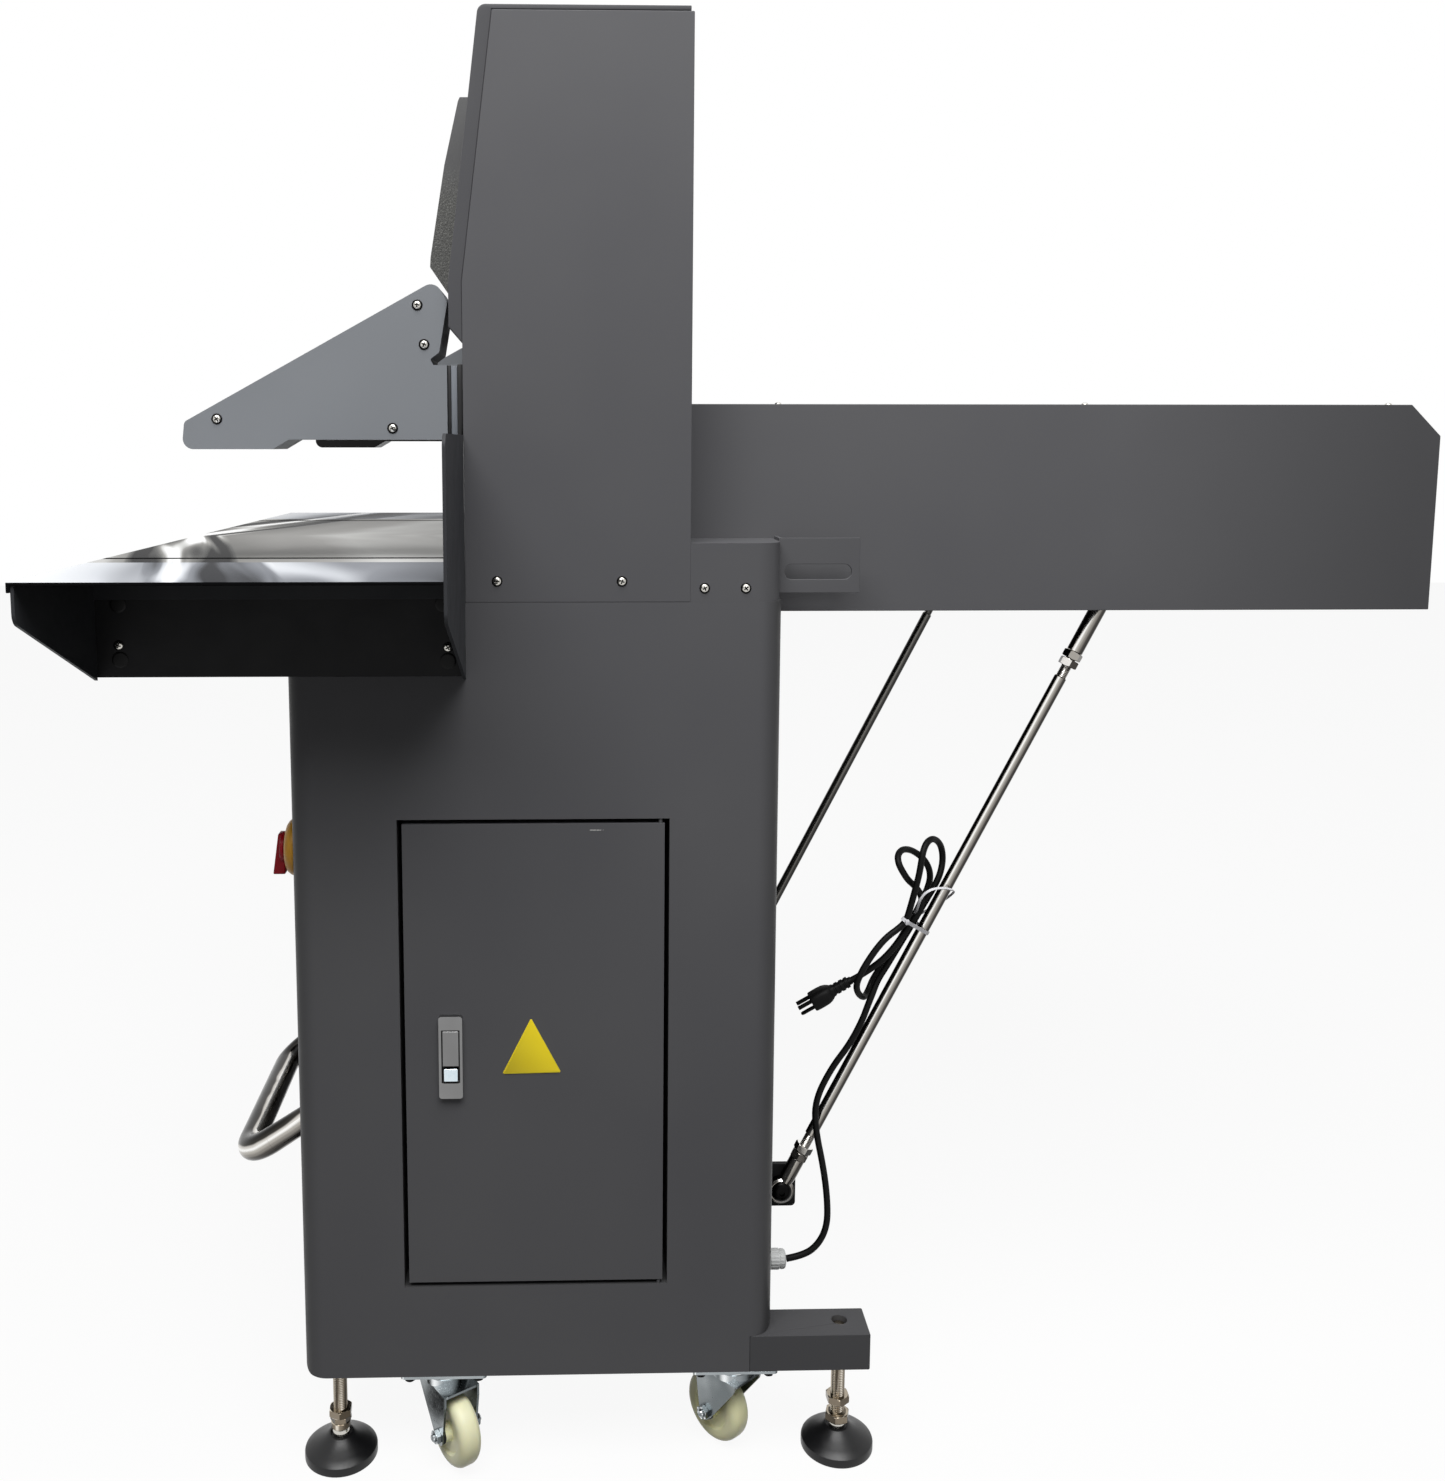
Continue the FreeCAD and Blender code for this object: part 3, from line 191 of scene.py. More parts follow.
def polishedSheet(name, stops, paintedStreakSpan, contrast, levels, metal, seam=None):
    # thin polished sheet with painted reflections: a smooth tone with faint clouds, one place where painted streaks of
    # light and dark gather, and painted shade on the edges
    material, tree, shader, place = startMaterial(name)
    spot = addNode(tree, "ShaderNodeSeparateXYZ", {"Vector": place}).outputs
    across = addNode(tree, "ShaderNodeMath", {0: spot["X"]}, 0, operation="ABSOLUTE")
    folded = addNode(tree, "ShaderNodeCombineXYZ", {"X": across, "Y": spot["Y"], "Z": spot["Z"]}, 0)
    slant = (0, 0, math.radians(sheet["slant"]))  # the streaks run at a slant across the sheet
    skew = addNode(tree, "ShaderNodeMapping", {"Vector": folded, "Rotation": slant}, "Vector", vector_type="TEXTURE")
    along = addNode(tree, "ShaderNodeSeparateXYZ", {"Vector": skew}, "Y")
    start, stop, fade, shoulder, ease = [mm / 1000 for mm in (*paintedStreakSpan, sheet["fadeMm"], sheet["shoulderMm"],
                                                              sheet["easeMm"])]
    # painted reflection: the base tone changes along the sheet, from one level in front of the streaks to another
    # behind them
    rise, fall, front, rear = [
        addNode(tree, "ShaderNodeMapRange", {"Value": along, "From Min": low, "From Max": high, "To Min": first,
                                             "To Max": last}, "Result")
        for low, high, first, last in ((start - fade, start, 0, 1), (stop, stop + fade, 1, 0),
                                       (start - shoulder, start, levels[0] - levels[1], 0),
                                       (stop, stop + ease, levels[1], levels[2]))]
    inside = addNode(tree, "ShaderNodeMath", {0: rise, 1: fall}, 0, operation="MULTIPLY")
    strong = addNode(tree, "ShaderNodeMath", {0: inside, 1: contrast[1]}, 0, operation="MULTIPLY")
    total = addNode(tree, "ShaderNodeMath", {0: rear, 1: front}, 0, operation="ADD")
    for (scale, long, twist, middle), amount in ((sheet["clouds"], contrast[0]), (sheet["reflectionStreaks"], strong)):
        drawn = addNode(tree, "ShaderNodeMapping", {"Vector": folded, "Rotation": slant, "Scale": (long, 1, 1)},
                        "Vector", vector_type="TEXTURE")
        bands = addNode(tree, "ShaderNodeTexNoise", {"Vector": drawn, "Scale": scale, "Detail": 1.5,
                                                     "Distortion": twist}, "Fac")
        swing = addNode(tree, "ShaderNodeMath", {0: bands, 1: middle}, 0, operation="SUBTRACT")
        total = addNode(tree, "ShaderNodeMath", {0: swing, 1: amount, 2: total}, 0, operation="MULTIPLY_ADD")
    tones = setStops(addNode(tree, "ShaderNodeValToRGB", {"Fac": total}), stops)
    # painted shade: faces that do not look up take the dark edge colour and lose the metal
    normal = addNode(tree, "ShaderNodeTexCoord", give="Normal")
    up = addNode(tree, "ShaderNodeSeparateXYZ", {"Vector": normal}, "Z")
    bright = addNode(tree, "ShaderNodeMapRange", {"Value": up, "From Min": 0.55, "From Max": 0.85}, "Result")
    if seam:  # painted shade: a dark line along the joint beside the side table
        away = addNode(tree, "ShaderNodeMath", {0: across, 1: seam[0] / 1000}, 0, operation="SUBTRACT")
        gap = addNode(tree, "ShaderNodeMath", {0: away}, 0, operation="ABSOLUTE")
        clear = addNode(tree, "ShaderNodeMapRange", {"Value": gap, "From Min": seam[1] / 1000,
                                                     "From Max": (seam[1] + 1) / 1000}, "Result")
        bright = addNode(tree, "ShaderNodeMath", {0: bright, 1: clear}, 0, operation="MULTIPLY")
    mixed = addNode(tree, "ShaderNodeMix", {"Factor": bright, "A": linear(sheet["edge"]), "B": tones}, "Result",
                    data_type="RGBA")
    share = addNode(tree, "ShaderNodeMath", {0: bright, 1: metal}, 0, operation="MULTIPLY")
    connect(tree, shader, {"Base Color": mixed, "Specular Tint": mixed, "Metallic": share, "Specular IOR Level": 0,
                           "Roughness": sheet["roughness"]})  # the tint keeps the tone at a grazing look too
    return material


def paintedReflection(tree, place, stops, cloudMm, cloudShare):
    # painted reflection: the bands a polished surface shows, a tone by the way the face looks, broken up by slow
    # clouding
    normal = addNode(tree, "ShaderNodeTexCoord", give="Normal")
    facing = addNode(tree, "ShaderNodeVectorMath", {0: normal, 1: (0, -0.6, 0.8)}, "Value", operation="DOT_PRODUCT")
    drift = pattern(tree, place, cloudMm, -cloudShare, cloudShare, 2)
    total = addNode(tree, "ShaderNodeMath", {0: facing, 1: drift}, 0, operation="ADD")
    level = addNode(tree, "ShaderNodeMapRange", {"Value": total, "From Min": -1, "From Max": 1}, "Result")
    bands = addNode(tree, "ShaderNodeValToRGB", {"Fac": level})
    bands.color_ramp.interpolation = "EASE"
    return setStops(bands, stops)


plate = {"wearMm": 1.5, "wearDepthMm": 0.002}


def platedSteel(name, tones, roughness, spotMm=4, cloudMm=60, cloudShare=0.1):
    # turned or pressed steel, plated: a dark and a light tone that cloud the plate, or the painted reflection bands of
    # a polished one
    material, tree, shader, place = startMaterial(name)
    if len(tones) > 2:
        mixed = paintedReflection(tree, place, tones, cloudMm, cloudShare)
    else:
        mixed = addNode(tree, "ShaderNodeMix", {"Factor": pattern(tree, place, spotMm, 0, 1, 4, 0.6),
                                                "A": linear(tones[0]), "B": linear(tones[1])}, "Result",
                        data_type="RGBA")
    connect(tree, shader, {"Base Color": mixed, "Metallic": 1,
                           "Roughness": pattern(tree, place, spotMm, roughness - 0.06, roughness + 0.1, 4, 0.6),
                           "Normal": relief(tree, place, plate["wearMm"], plate["wearDepthMm"])})
    return material


plastic = {"toneMm": 60, "glossMm": 12, "throughMm": (6, 5, 3), "stainMm": (2.4, 2.4, 2), "stain": "#6d4a2c"}


def mouldedPlastic(name, colour, dark, roughness, grainMm=0.7, grainDepthMm=0.03, stainAt=None, translucent=0,
                   sheen=0.35):
    # injection moulded: an even colour with a fine moulded grain
    material, tree, shader, place = startMaterial(name)
    mixed = addNode(tree, "ShaderNodeMix", {"Factor": pattern(tree, place, plastic["toneMm"]), "A": linear(dark),
                                            "B": linear(colour)}, "Result", data_type="RGBA")
    if stainAt:
        mark = markNear(tree, place, stainAt, plastic["stainMm"], 0.6)
        mixed = addNode(tree, "ShaderNodeMix", {"Factor": mark, "A": mixed, "B": linear(plastic["stain"])}, "Result",
                        data_type="RGBA")
    connect(tree, shader, {"Base Color": mixed, "Specular IOR Level": sheen,
                           "Roughness": pattern(tree, place, plastic["glossMm"], roughness - 0.04, roughness + 0.05),
                           "Normal": relief(tree, place, grainMm, grainDepthMm)})
    if translucent:  # nylon lets a little light through
        connect(tree, shader, {"Subsurface Weight": translucent, "Subsurface Scale": 1,
                               "Subsurface Radius": tuple(depth / 1000 for depth in plastic["throughMm"])})
    return material


panel = {"smoothAboveMm": 1387, "blendMm": 40, "speckleMm": 1.6, "pebbleMm": 2.2, "pebbleDepthMm": 0.5,
         "glintSpots": "#6f6f6b", "smoothRoughness": 0.42, "pebbledRoughness": 0.55}


def pebbledPanel(name, smoothColour, grainColour):
    # a moulded housing: satin above the level, coarse leather-like pebbling below it, with light glints on the pebbling
    # as painted highlights
    material, tree, shader, place = startMaterial(name)
    height = addNode(tree, "ShaderNodeSeparateXYZ", {"Vector": place}, "Z")
    low = addNode(tree, "ShaderNodeMapRange", {"Value": height, "From Max": panel["smoothAboveMm"] / 1000,
                                               "From Min": (panel["smoothAboveMm"] - panel["blendMm"]) / 1000,
                                               "To Min": 1, "To Max": 0}, "Result")
    dots, pebbles = [addNode(tree, "ShaderNodeTexNoise", {"Vector": place, "Scale": 1000 / size, "Detail": 2,
                                                          "Roughness": 0.5}, "Fac")
                     for size in (panel["speckleMm"], panel["pebbleMm"])]
    # painted highlight: light glints speckle the pebbling
    glintSpots = addNode(tree, "ShaderNodeMapRange", {"Value": dots, "From Min": 0.5, "From Max": 0.72}, "Result")
    pebbled = addNode(tree, "ShaderNodeMix", {"Factor": glintSpots, "A": linear(grainColour),
                                              "B": linear(panel["glintSpots"])}, "Result", data_type="RGBA")
    mixed = addNode(tree, "ShaderNodeMix", {"Factor": low, "A": linear(smoothColour), "B": pebbled}, "Result",
                    data_type="RGBA")
    share = addNode(tree, "ShaderNodeMapRange", {"Value": low, "To Min": 0.12}, "Result")
    grain = addNode(tree, "ShaderNodeMath", {0: pebbles, 1: share}, 0, operation="MULTIPLY")
    roughness = addNode(tree, "ShaderNodeMapRange", {"Value": low, "To Min": panel["smoothRoughness"],
                                                     "To Max": panel["pebbledRoughness"]}, "Result")
    bumps = addNode(tree, "ShaderNodeBump", {"Height": grain, "Distance": panel["pebbleDepthMm"] / 1000,
                                             "Strength": 1}, "Normal")
    connect(tree, shader, {"Base Color": mixed, "Roughness": roughness, "Normal": bumps})
    return material


# Painted reflection bands of the bright metals, from faces that look down and back to faces that look up and forward;
# the shaded set is darker still, with painted shade for the far rod
chromeReflectionBands = [(0.0, "#6a6763"), (0.1, "#8d8984"), (0.2, "#22211f"), (0.36, "#4a4744"), (0.5, "#8b8781"),
               (0.62, "#b5b1aa"), (0.72, "#fbfaf7"), (0.8, "#cfcbc5"), (0.87, "#3a3835"), (1.0, "#1c1b1a")]
shadedReflectionBands = [(0.0, "#4c4b49"), (0.15, "#1a1a19"), (0.4, "#3f3e3c"), (0.6, "#75736f"), (0.75, "#a9a7a2"),
             (0.88, "#2a2928"), (1.0, "#4b4a47")]
nickelReflectionBands = [(0.0, "#5b5145"), (0.15, "#221d17"), (0.3, "#4b4338"), (0.46, "#857a6b"), (0.56, "#e9e1d3"),
            (0.63, "#857a6b"), (0.76, "#3d362d"), (0.88, "#a89d8c"), (1.0, "#dcd4c5")]
zincReflectionBands = [(0.0, "#6b7072"), (0.15, "#2a2f31"), (0.3, "#5d6365"), (0.43, "#8f9598"), (0.53, "#a9afb2"),
             (0.62, "#f3f6f7"), (0.72, "#6d7375"), (0.84, "#cfd4d6"), (1.0, "#b9bec0")]
# Painted reflection tones of the two sheets, from the darkest fold to the brightest
tableReflectionTones = [(0.0, "#1d1d1e"), (0.3, "#6a6a68"), (0.44, "#878683"), (0.58, "#a2a19e"), (0.7, "#d5d5d3"),
              (0.85, "#ffffff")]
wingReflectionTones = [(0.08, "#2e2f33"), (0.3, "#74777d"), (0.42, "#898c92"), (0.56, "#cdd0d5"), (0.68, "#e6e8eb"),
             (0.85, "#ffffff")]

# Powder coat on folded steel: a flat dark grey with a soft sheen; copies a shade darker or lighter are painted shade
# and painted light for where less or more light falls, as are the cabinet's darker corners and the rear panels' darker
# far end
graphite = powderCoat("graphite powder coat on steel", "#5d5d5f", "#57575a")
graphiteCabinet = powderCoat("graphite powder coat on the cabinet", "#5d5d5f", "#57575a", corner="#484849")
graphiteRear = powderCoat("graphite powder coat on the rear panels", "#616163", "#5b5b5e", farEndShade="#4e4e50")
graphiteOutrigger = powderCoat("graphite powder coat on the outriggers", "#4f4f51", "#4a4a4c")
graphiteCover = powderCoat("graphite powder coat on the cover", "#525254", "#4d4d50")
graphiteDoor = powderCoat("graphite powder coat on the door", "#5d5d5f", "#57575a", scratchAt=(400, -192, 692.5))
# painted shade: the side table's brackets take a darker copy of the graphite, as they lie under the table in its shadow
shadedUnderTable = powderCoat("graphite powder coat in painted shade", "#3c3d3f", "#36373a", 0.48)
# Satin paint: a black that barely shines, and a cool silver grey on the arms, with painted shade as near-black strips
# low on their inner faces
blackPaint = powderCoat("black satin paint on steel", "#252526", "#1e1e1f", 0.5)
silverPaint = powderCoat("silver grey paint on aluminium", "#80848a", "#787c82", 0.4)
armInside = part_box("guard_arm_right")[0].x * 1000
armSilver = paintedShadeWithin(powderCoat("silver grey paint on the arms", "#84878b", "#7c7f83", 0.4),
                  (("X", "LESS_THAN", armInside + 0.4), ("Z", "LESS_THAN", 1092)), "#121212")
# Polished stainless sheet: painted reflections, a smooth grey that turns white, with a knot of painted light and dark
# near the front
tableSteel = polishedSheet("polished stainless main table", tableReflectionTones, (-720, -635), (0.3, 4.2), (0.62, 0.4, 0.64),
                           0.3, (350, 7))
wingSteel = polishedSheet("polished stainless side table", wingReflectionTones, (-701, -604), (0.7, 2.4), (0.545, 0.53, 0.26),
                          0.3)
# Machined and brushed steel: matt metal with fine lines one way, and painted shade in the recess round the lock's
# handle and button
machinedSteel = brushedSteel("machined steel", "#a9a9a8", "#9b9b9a", 0.35, (40, 1, 1))
lockMetal = paintedShadeWithin(brushedSteel("satin nickel lock", "#959595", "#7f7f7f", 0.36, (1, 30, 1)),
                  (("Y", "GREATER_THAN", -348.6), ("Y", "LESS_THAN", -329.8), ("Z", "GREATER_THAN", 431.2),
                   ("Z", "LESS_THAN", 486.9)), "#2b2b2b")
handleMetal = brushedSteel("brushed lock handle", "#8f8f8f", "#7c7c7c", 0.34, (1, 1, 26))
# Polished tube and drawn rod: painted reflections as long bright and dark streaks; the far rod is darker with painted
# shade
polishedTube = platedSteel("polished stainless tube", chromeReflectionBands, 0.14)
rodSteel = platedSteel("bright drawn steel rod", chromeReflectionBands, 0.16, cloudMm=200, cloudShare=0.05)
shadedRodSteel = platedSteel("drawn steel rod in painted shade", shadedReflectionBands, 0.2, cloudMm=200, cloudShare=0.05)
# Plated pressings and screws: zinc cool and bright, nickel warmer, both with painted reflection bands; chrome nearly
# white, with a painted pale blue reflection on the button; blackened steel nearly black
zinc = platedSteel("bright zinc plate", zincReflectionBands, 0.2, cloudShare=0.08)
nickel = platedSteel("nickel plated steel", nickelReflectionBands, 0.18, cloudShare=0.05)
screwMetal = platedSteel("nickel plated screw", ("#bbb8b0", "#d6d4ce"), 0.22, 2)
# painted reflection: the chrome button's pale blue tones
polishedButton = platedSteel("polished chrome button", ("#cfdfe8", "#dfeaf0"), 0.08, 6)
blackSteel = platedSteel("blackened steel", ("#0e0e0e", "#171616"), 0.3)
# Cast nylon: a creamy white that glows a little at its edges
creamNylon = mouldedPlastic("cream nylon", "#fffdd6", "#fbf8c8", 0.34, grainDepthMm=0.01, translucent=0.25)
creamNylonRear = mouldedPlastic("cream nylon with a stain", "#fffcd0", "#f8f5c0", 0.34, grainDepthMm=0.01,
                                stainAt=(372, -48, 72), translucent=0.25)
# Moulded plastics: even colours, a little glossy on the switch, matt on housing, gland and plugs
panelPlastic = pebbledPanel("pebbled dark grey housing", "#454546", "#454543")
yellowPlastic = mouldedPlastic("yellow plastic", "#e0a32f", "#d39728", 0.38)
redPlastic = mouldedPlastic("red plastic", "#a80d20", "#990b1c", 0.36, sheen=0.2)
greyPlastic = mouldedPlastic("light grey nylon", "#eceeed", "#cfd1d0", 0.42, 1.6, 0.08)
whiteNylon = mouldedPlastic("white nylon tie", "#e6e6ea", "#dcdce0", 0.4, 0.5, 0.01)
blackPlastic = mouldedPlastic("black plastic", "#121214", "#0b0b0c", 0.34, 0.9, 0.02, sheen=0.4)
plugPlastic = mouldedPlastic("black hole plug", "#0b0b0b", "#070707", 0.5, 0.9, 0.02, sheen=0.15)
# Enamel on sheet: a clear strong yellow. Rubber: a dull black
yellowEnamel = mouldedPlastic("yellow enamelled plate", "#ffe72a", "#fbdf20", 0.32, 0.9, 0.01)
cordRubber = mouldedPlastic("black cord rubber", "#0c0c0c", "#070707", 0.5, 0.5, 0.02, sheen=0.12)

slotMaterials = {
    "graphite_paint": graphite, "black_paint": blackPaint, "silver_paint": silverPaint,
    "polished_steel": tableSteel, "machined_steel": machinedSteel, "lock_metal": lockMetal, "zinc": zinc,
    "nickel": nickel, "cream_nylon": creamNylon, "dark_plastic": panelPlastic, "yellow_plastic": yellowPlastic,
    "red_plastic": redPlastic, "grey_plastic": greyPlastic, "black_rubber": cordRubber,
}
ownMaterials = {"cabinet": graphiteCabinet, "door": graphiteDoor, "head_cover": graphiteCover,
                "rear_cover": graphiteRear, "foot_bar": polishedTube, "lock_handle": handleMetal}
for side in ("right", "left"):
    for part, material in (("wing_bracket", shadedUnderTable), ("wing_table", wingSteel), ("guard_arm", armSilver),
                           ("rear_side", graphiteRear), ("outrigger", graphiteOutrigger)):
        ownMaterials[part + "_" + side] = material
slotOf = {part["node"]: part["material_slot"] for part in frame["record"]["subparts"]}
for name, nodeObject in frame["nodes"].items():
    nodeObject.data.materials.clear()
    nodeObject.data.materials.append(ownMaterials.get(name, slotMaterials[slotOf[name]]))
print("materials done")


# Shapes in millimetres, placed in the machine's own frame

def makePiece(name, shape, material, smoothUnder=35):
    # a shape is its points in mm and its faces
    mesh = bpy.data.meshes.new(name)
    mesh.from_pydata([(p[0] / 1000, p[1] / 1000, p[2] / 1000) for p in shape[0]], [], shape[1])
    work = bmesh.new()
    work.from_mesh(mesh)
    bmesh.ops.remove_doubles(work, verts=work.verts, dist=0.000002)
    bmesh.ops.recalc_face_normals(work, faces=work.faces)
    work.to_mesh(mesh)
    work.free()
    mesh.materials.append(material)
    mesh.shade_smooth()
    mesh.set_sharp_from_angle(angle=math.radians(smoothUnder))
    piece = bpy.data.objects.new(name, mesh)
    bpy.context.scene.collection.objects.link(piece)
    return piece


def fit(piece, body, slot, *nodes):
    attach(piece, body)
    if nodes:
        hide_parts(*nodes)
    return piece


def turned(profile, segments=40, radiusAt=None):
    # (radius, height) pairs turned about Z; a profile that starts and ends on the axis is closed by its poles
    points, rings, faces = [], [], []
    for radius, height in profile:
        if radius < 1e-6:
            rings.append([len(points)])
            points.append((0, 0, height))
            continue
        rings.append(list(range(len(points), len(points) + segments)))
        for i in range(segments):
            angle = 2 * math.pi * i / segments
            r = radiusAt(radius, height, angle) if radiusAt else radius
            points.append((r * math.cos(angle), r * math.sin(angle), height))
    pairs = list(zip(rings, rings[1:]))
    if len(rings[0]) > 1 and len(rings[-1]) > 1:
        pairs.append((rings[-1], rings[0]))  # a ring with a hole closes on itself
    for low, high in pairs:
        for i in range(segments):
            j = (i + 1) % segments
            if len(low) == 1 and len(high) == 1:
                continue
            if len(low) == 1:
                faces.append((low[0], high[i], high[j]))
            elif len(high) == 1:
                faces.append((low[i], high[0], low[j]))
            else:
                faces.append((low[i], low[j], high[j], high[i]))
    return points, faces


def joined(*shapes):
    points, faces = [], []
    for somePoints, someFaces in shapes:
        start = len(points)
        points += somePoints
        faces += [tuple(start + i for i in face) for face in someFaces]
    return points, faces


def bothEnds(shape):
    # the shape and its like on the far side of the plane z = 0
    return joined(shape, ([(x, y, -z) for x, y, z in shape[0]], shape[1]))


def tubeFaces(count, rings):
    # faces between rings of count points each, with both ends closed
    faces = []
    for row in range(rings - 1):
        a, b = row * count, (row + 1) * count
        faces += [(a + i, a + (i + 1) % count, b + (i + 1) % count, b + i) for i in range(count)]
    faces.append(tuple(reversed(range(count))))
    faces.append(tuple(range((rings - 1) * count, rings * count)))
    return faces


def placed(shape, origin, direction=(0, 0, 1), turn=0):
    # the shape's Z turned to the direction and its origin moved
    matrix = Vector(direction).to_track_quat("Z", "Y").to_matrix() @ Matrix.Rotation(math.radians(turn), 3, "Z")
    return [tuple(matrix @ Vector(p) + Vector(origin)) for p in shape[0]], shape[1]


def hexNut(acrossFlats, height, bore):
    # the six flats with both rims turned to a cone, as a real nut's are
    inner = acrossFlats / 2
    corner = inner / math.cos(math.pi / 6)
    rim = inner + (corner - inner) * 0.07  # how far the chamfer leaves the flats

    def flatRadius(angle):
        return inner / math.cos((angle + math.pi / 6) % (math.pi / 3) - math.pi / 6)

    def radiusAt(radius, level, angle):
        return radius if radius <= bore else min(flatRadius(angle), radius)

    drop = 0.5 * (corner - rim)
    profile = [(bore, 0), (rim, 0), ((rim + corner) / 2, drop / 2), (corner, drop), (corner, height - drop),
               ((rim + corner) / 2, height - drop / 2), (rim, height), (bore, height)]
    return turned(profile, 48, radiusAt)


def threadedRod(radius, length, pitch, depth):
    # a ridge that climbs one pitch each turn
    segments, steps = 24, 6
    rows = int(length / pitch * steps)
    points = []
    for row in range(rows + 1):
        height = length * row / rows
        for i in range(segments):
            wave = abs(((height / pitch - i / segments) % 1) - 0.5) * 2
            r = radius - depth * wave if 0 < row < rows else radius - depth
            angle = 2 * math.pi * i / segments
            points.append((r * math.cos(angle), r * math.sin(angle), height))
    return points, tubeFaces(segments, rows + 1)


def roundedBlock(low, high, radius, segments=3):
    # a block with all its edges rounded
    shape = bmesh.new()
    bmesh.ops.create_cube(shape, size=1)
    size = [h - l for l, h in zip(low, high)]
    middle = [(h + l) / 2 for l, h in zip(low, high)]
    for vert in shape.verts:
        vert.co = Vector([c * s + m for c, s, m in zip(vert.co, size, middle)])
    bmesh.ops.bevel(shape, geom=shape.edges[:], offset=radius, segments=segments, profile=0.5, affect="EDGES")
    shape.verts.index_update()
    points = [tuple(v.co) for v in shape.verts]
    faces = [tuple(v.index for v in f.verts) for f in shape.faces]
    shape.free()
    return points, faces


def lofted(sections, count):
    # (height, half width, half depth, squareness) rings from one end to the other
    points = []
    for height, wide, deep, power in sections:
        for i in range(count):
            angle = 2 * math.pi * i / count
            c, s = math.cos(angle), math.sin(angle)
            points.append((wide * math.copysign(abs(c) ** (2 / power), c),
                           deep * math.copysign(abs(s) ** (2 / power), s), height))
    return points, tubeFaces(count, len(sections))


# Edges of the folded and moulded parts, eased as sheet and castings are

edgeRounding = {
    "cabinet": 1.2, "door": 0.7, "head_housing": 0.9, "head_cover": 1.2, "rear_cover": 0.7, "control_panel": 1.6,
    "main_table": 0.5, "lock_body": 0.35, "lock_handle": 0.4, "table_frame": 0.6,
}
pairedRounding = {
    "head_column": 0.9, "rear_block": 1.0, "rear_side": 0.7, "outrigger": 1.3, "guard_arm": 2.6, "wing_table": 0.6,
    "wing_bracket": 0.6, "slotted_plate": 0.5, "rod_bracket": 0.6, "caster_plate_front": 0.6, "caster_plate_rear": 0.6,
    "caster_fork_front": 0.7, "caster_fork_rear": 0.7,
}
for side in ("right", "left"):
    for part, width in pairedRounding.items():
        edgeRounding[part + "_" + side] = width


easing = {"angle": 34, "threeStepsFrom": 1.5, "weight": 60}


def easeEdges(nodeObject, width):
    join = nodeObject.modifiers.new("join", "WELD")
    join.merge_threshold = 0.000005
    ease = nodeObject.modifiers.new("ease", "BEVEL")
    ease.width = width / 1000
    ease.segments = 3 if width > easing["threeStepsFrom"] else 2
    ease.limit_method = "ANGLE"
    ease.angle_limit = math.radians(easing["angle"])
    shade = nodeObject.modifiers.new("shade", "WEIGHTED_NORMAL")
    shade.weight = easing["weight"]
    shade.keep_sharp = False


for name, width in edgeRounding.items():
    easeEdges(frame["nodes"][name], width)
# The foot bar's tube is a little stouter; its pivot keeps its size, so it still turns in its bore
stoutTube = {"aheadOfMm": -455, "moreMm": 2.2}
footBar = frame["nodes"]["foot_bar"]
outside = footBar.vertex_groups.new(name="outside the cabinet")
outside.add([v.index for v in footBar.data.vertices if v.co.y < stoutTube["aheadOfMm"] / 1000], 1, "REPLACE")
stout = footBar.modifiers.new("stout tube", "DISPLACE")
stout.vertex_group = outside.name
stout.strength = stoutTube["moreMm"] / 1000
stout.mid_level = 0
print("edges eased")


# Fasteners, set out on points by one geometry tree

# Where the casters stand comes first, because the bolts of their plates are set out here too
casters = {"radius": 37.5, "half": 12.5, "axle": 39.5, "trail": 20.5,
           "headings": {("front", "right"): 34, ("front", "left"): 146, ("rear", "right"): 220, ("rear", "left"): -40},
           "across": 373, "front": -351.5, "rear": -44.5}
fasteners = {"screw": 8.4, "ring": 10.4, "armScrew": 8.0, "plug": 16, "topScrew": 7, "casterBolt": 10, "seed": 7,
             "bodySide": 400, "armSide": 392, "rearTop": 1117, "topAcross": 316, "plateUnder": 102,
             "boltPitch": (38, 72)}


def crossScrewHead():
    # a pan head one unit wide with a cross recess
    tall, deep, foot, armHalf, armReach = 0.3, 0.17, -0.06, 0.062, 0.28
    radii = [0.04, 0.07, 0.1, 0.14, 0.18, 0.22, 0.26, 0.29, 0.34, 0.4, 0.45, 0.485, 0.5, 0.5]

    def height(radius, x, y):
        dome = tall * math.sqrt(max(0, 1 - (radius / 0.5) ** 2.4))
        inCross = min(abs(x), abs(y)) < armHalf and radius < armReach
        return dome - (deep if inCross else 0)

    segments = 40
    rows = len(radii)
    points, faces = [(0, 0, tall - 0.19)], []
    for row, radius in enumerate(radii):
        for i in range(segments):
            angle = 2 * math.pi * (i + 0.5) / segments
            x, y = radius * math.cos(angle), radius * math.sin(angle)
            points.append((x, y, height(radius, x, y) if row < rows - 1 else foot))
    for i in range(segments):
        j = (i + 1) % segments
        faces.append((0, 1 + i, 1 + j))
        for row in range(rows - 1):
            a, b = 1 + row * segments, 1 + (row + 1) * segments
            faces.append((a + i, b + i, b + j, a + j))
    faces.append(tuple(1 + (rows - 1) * segments + i for i in reversed(range(segments))))
    return points, faces


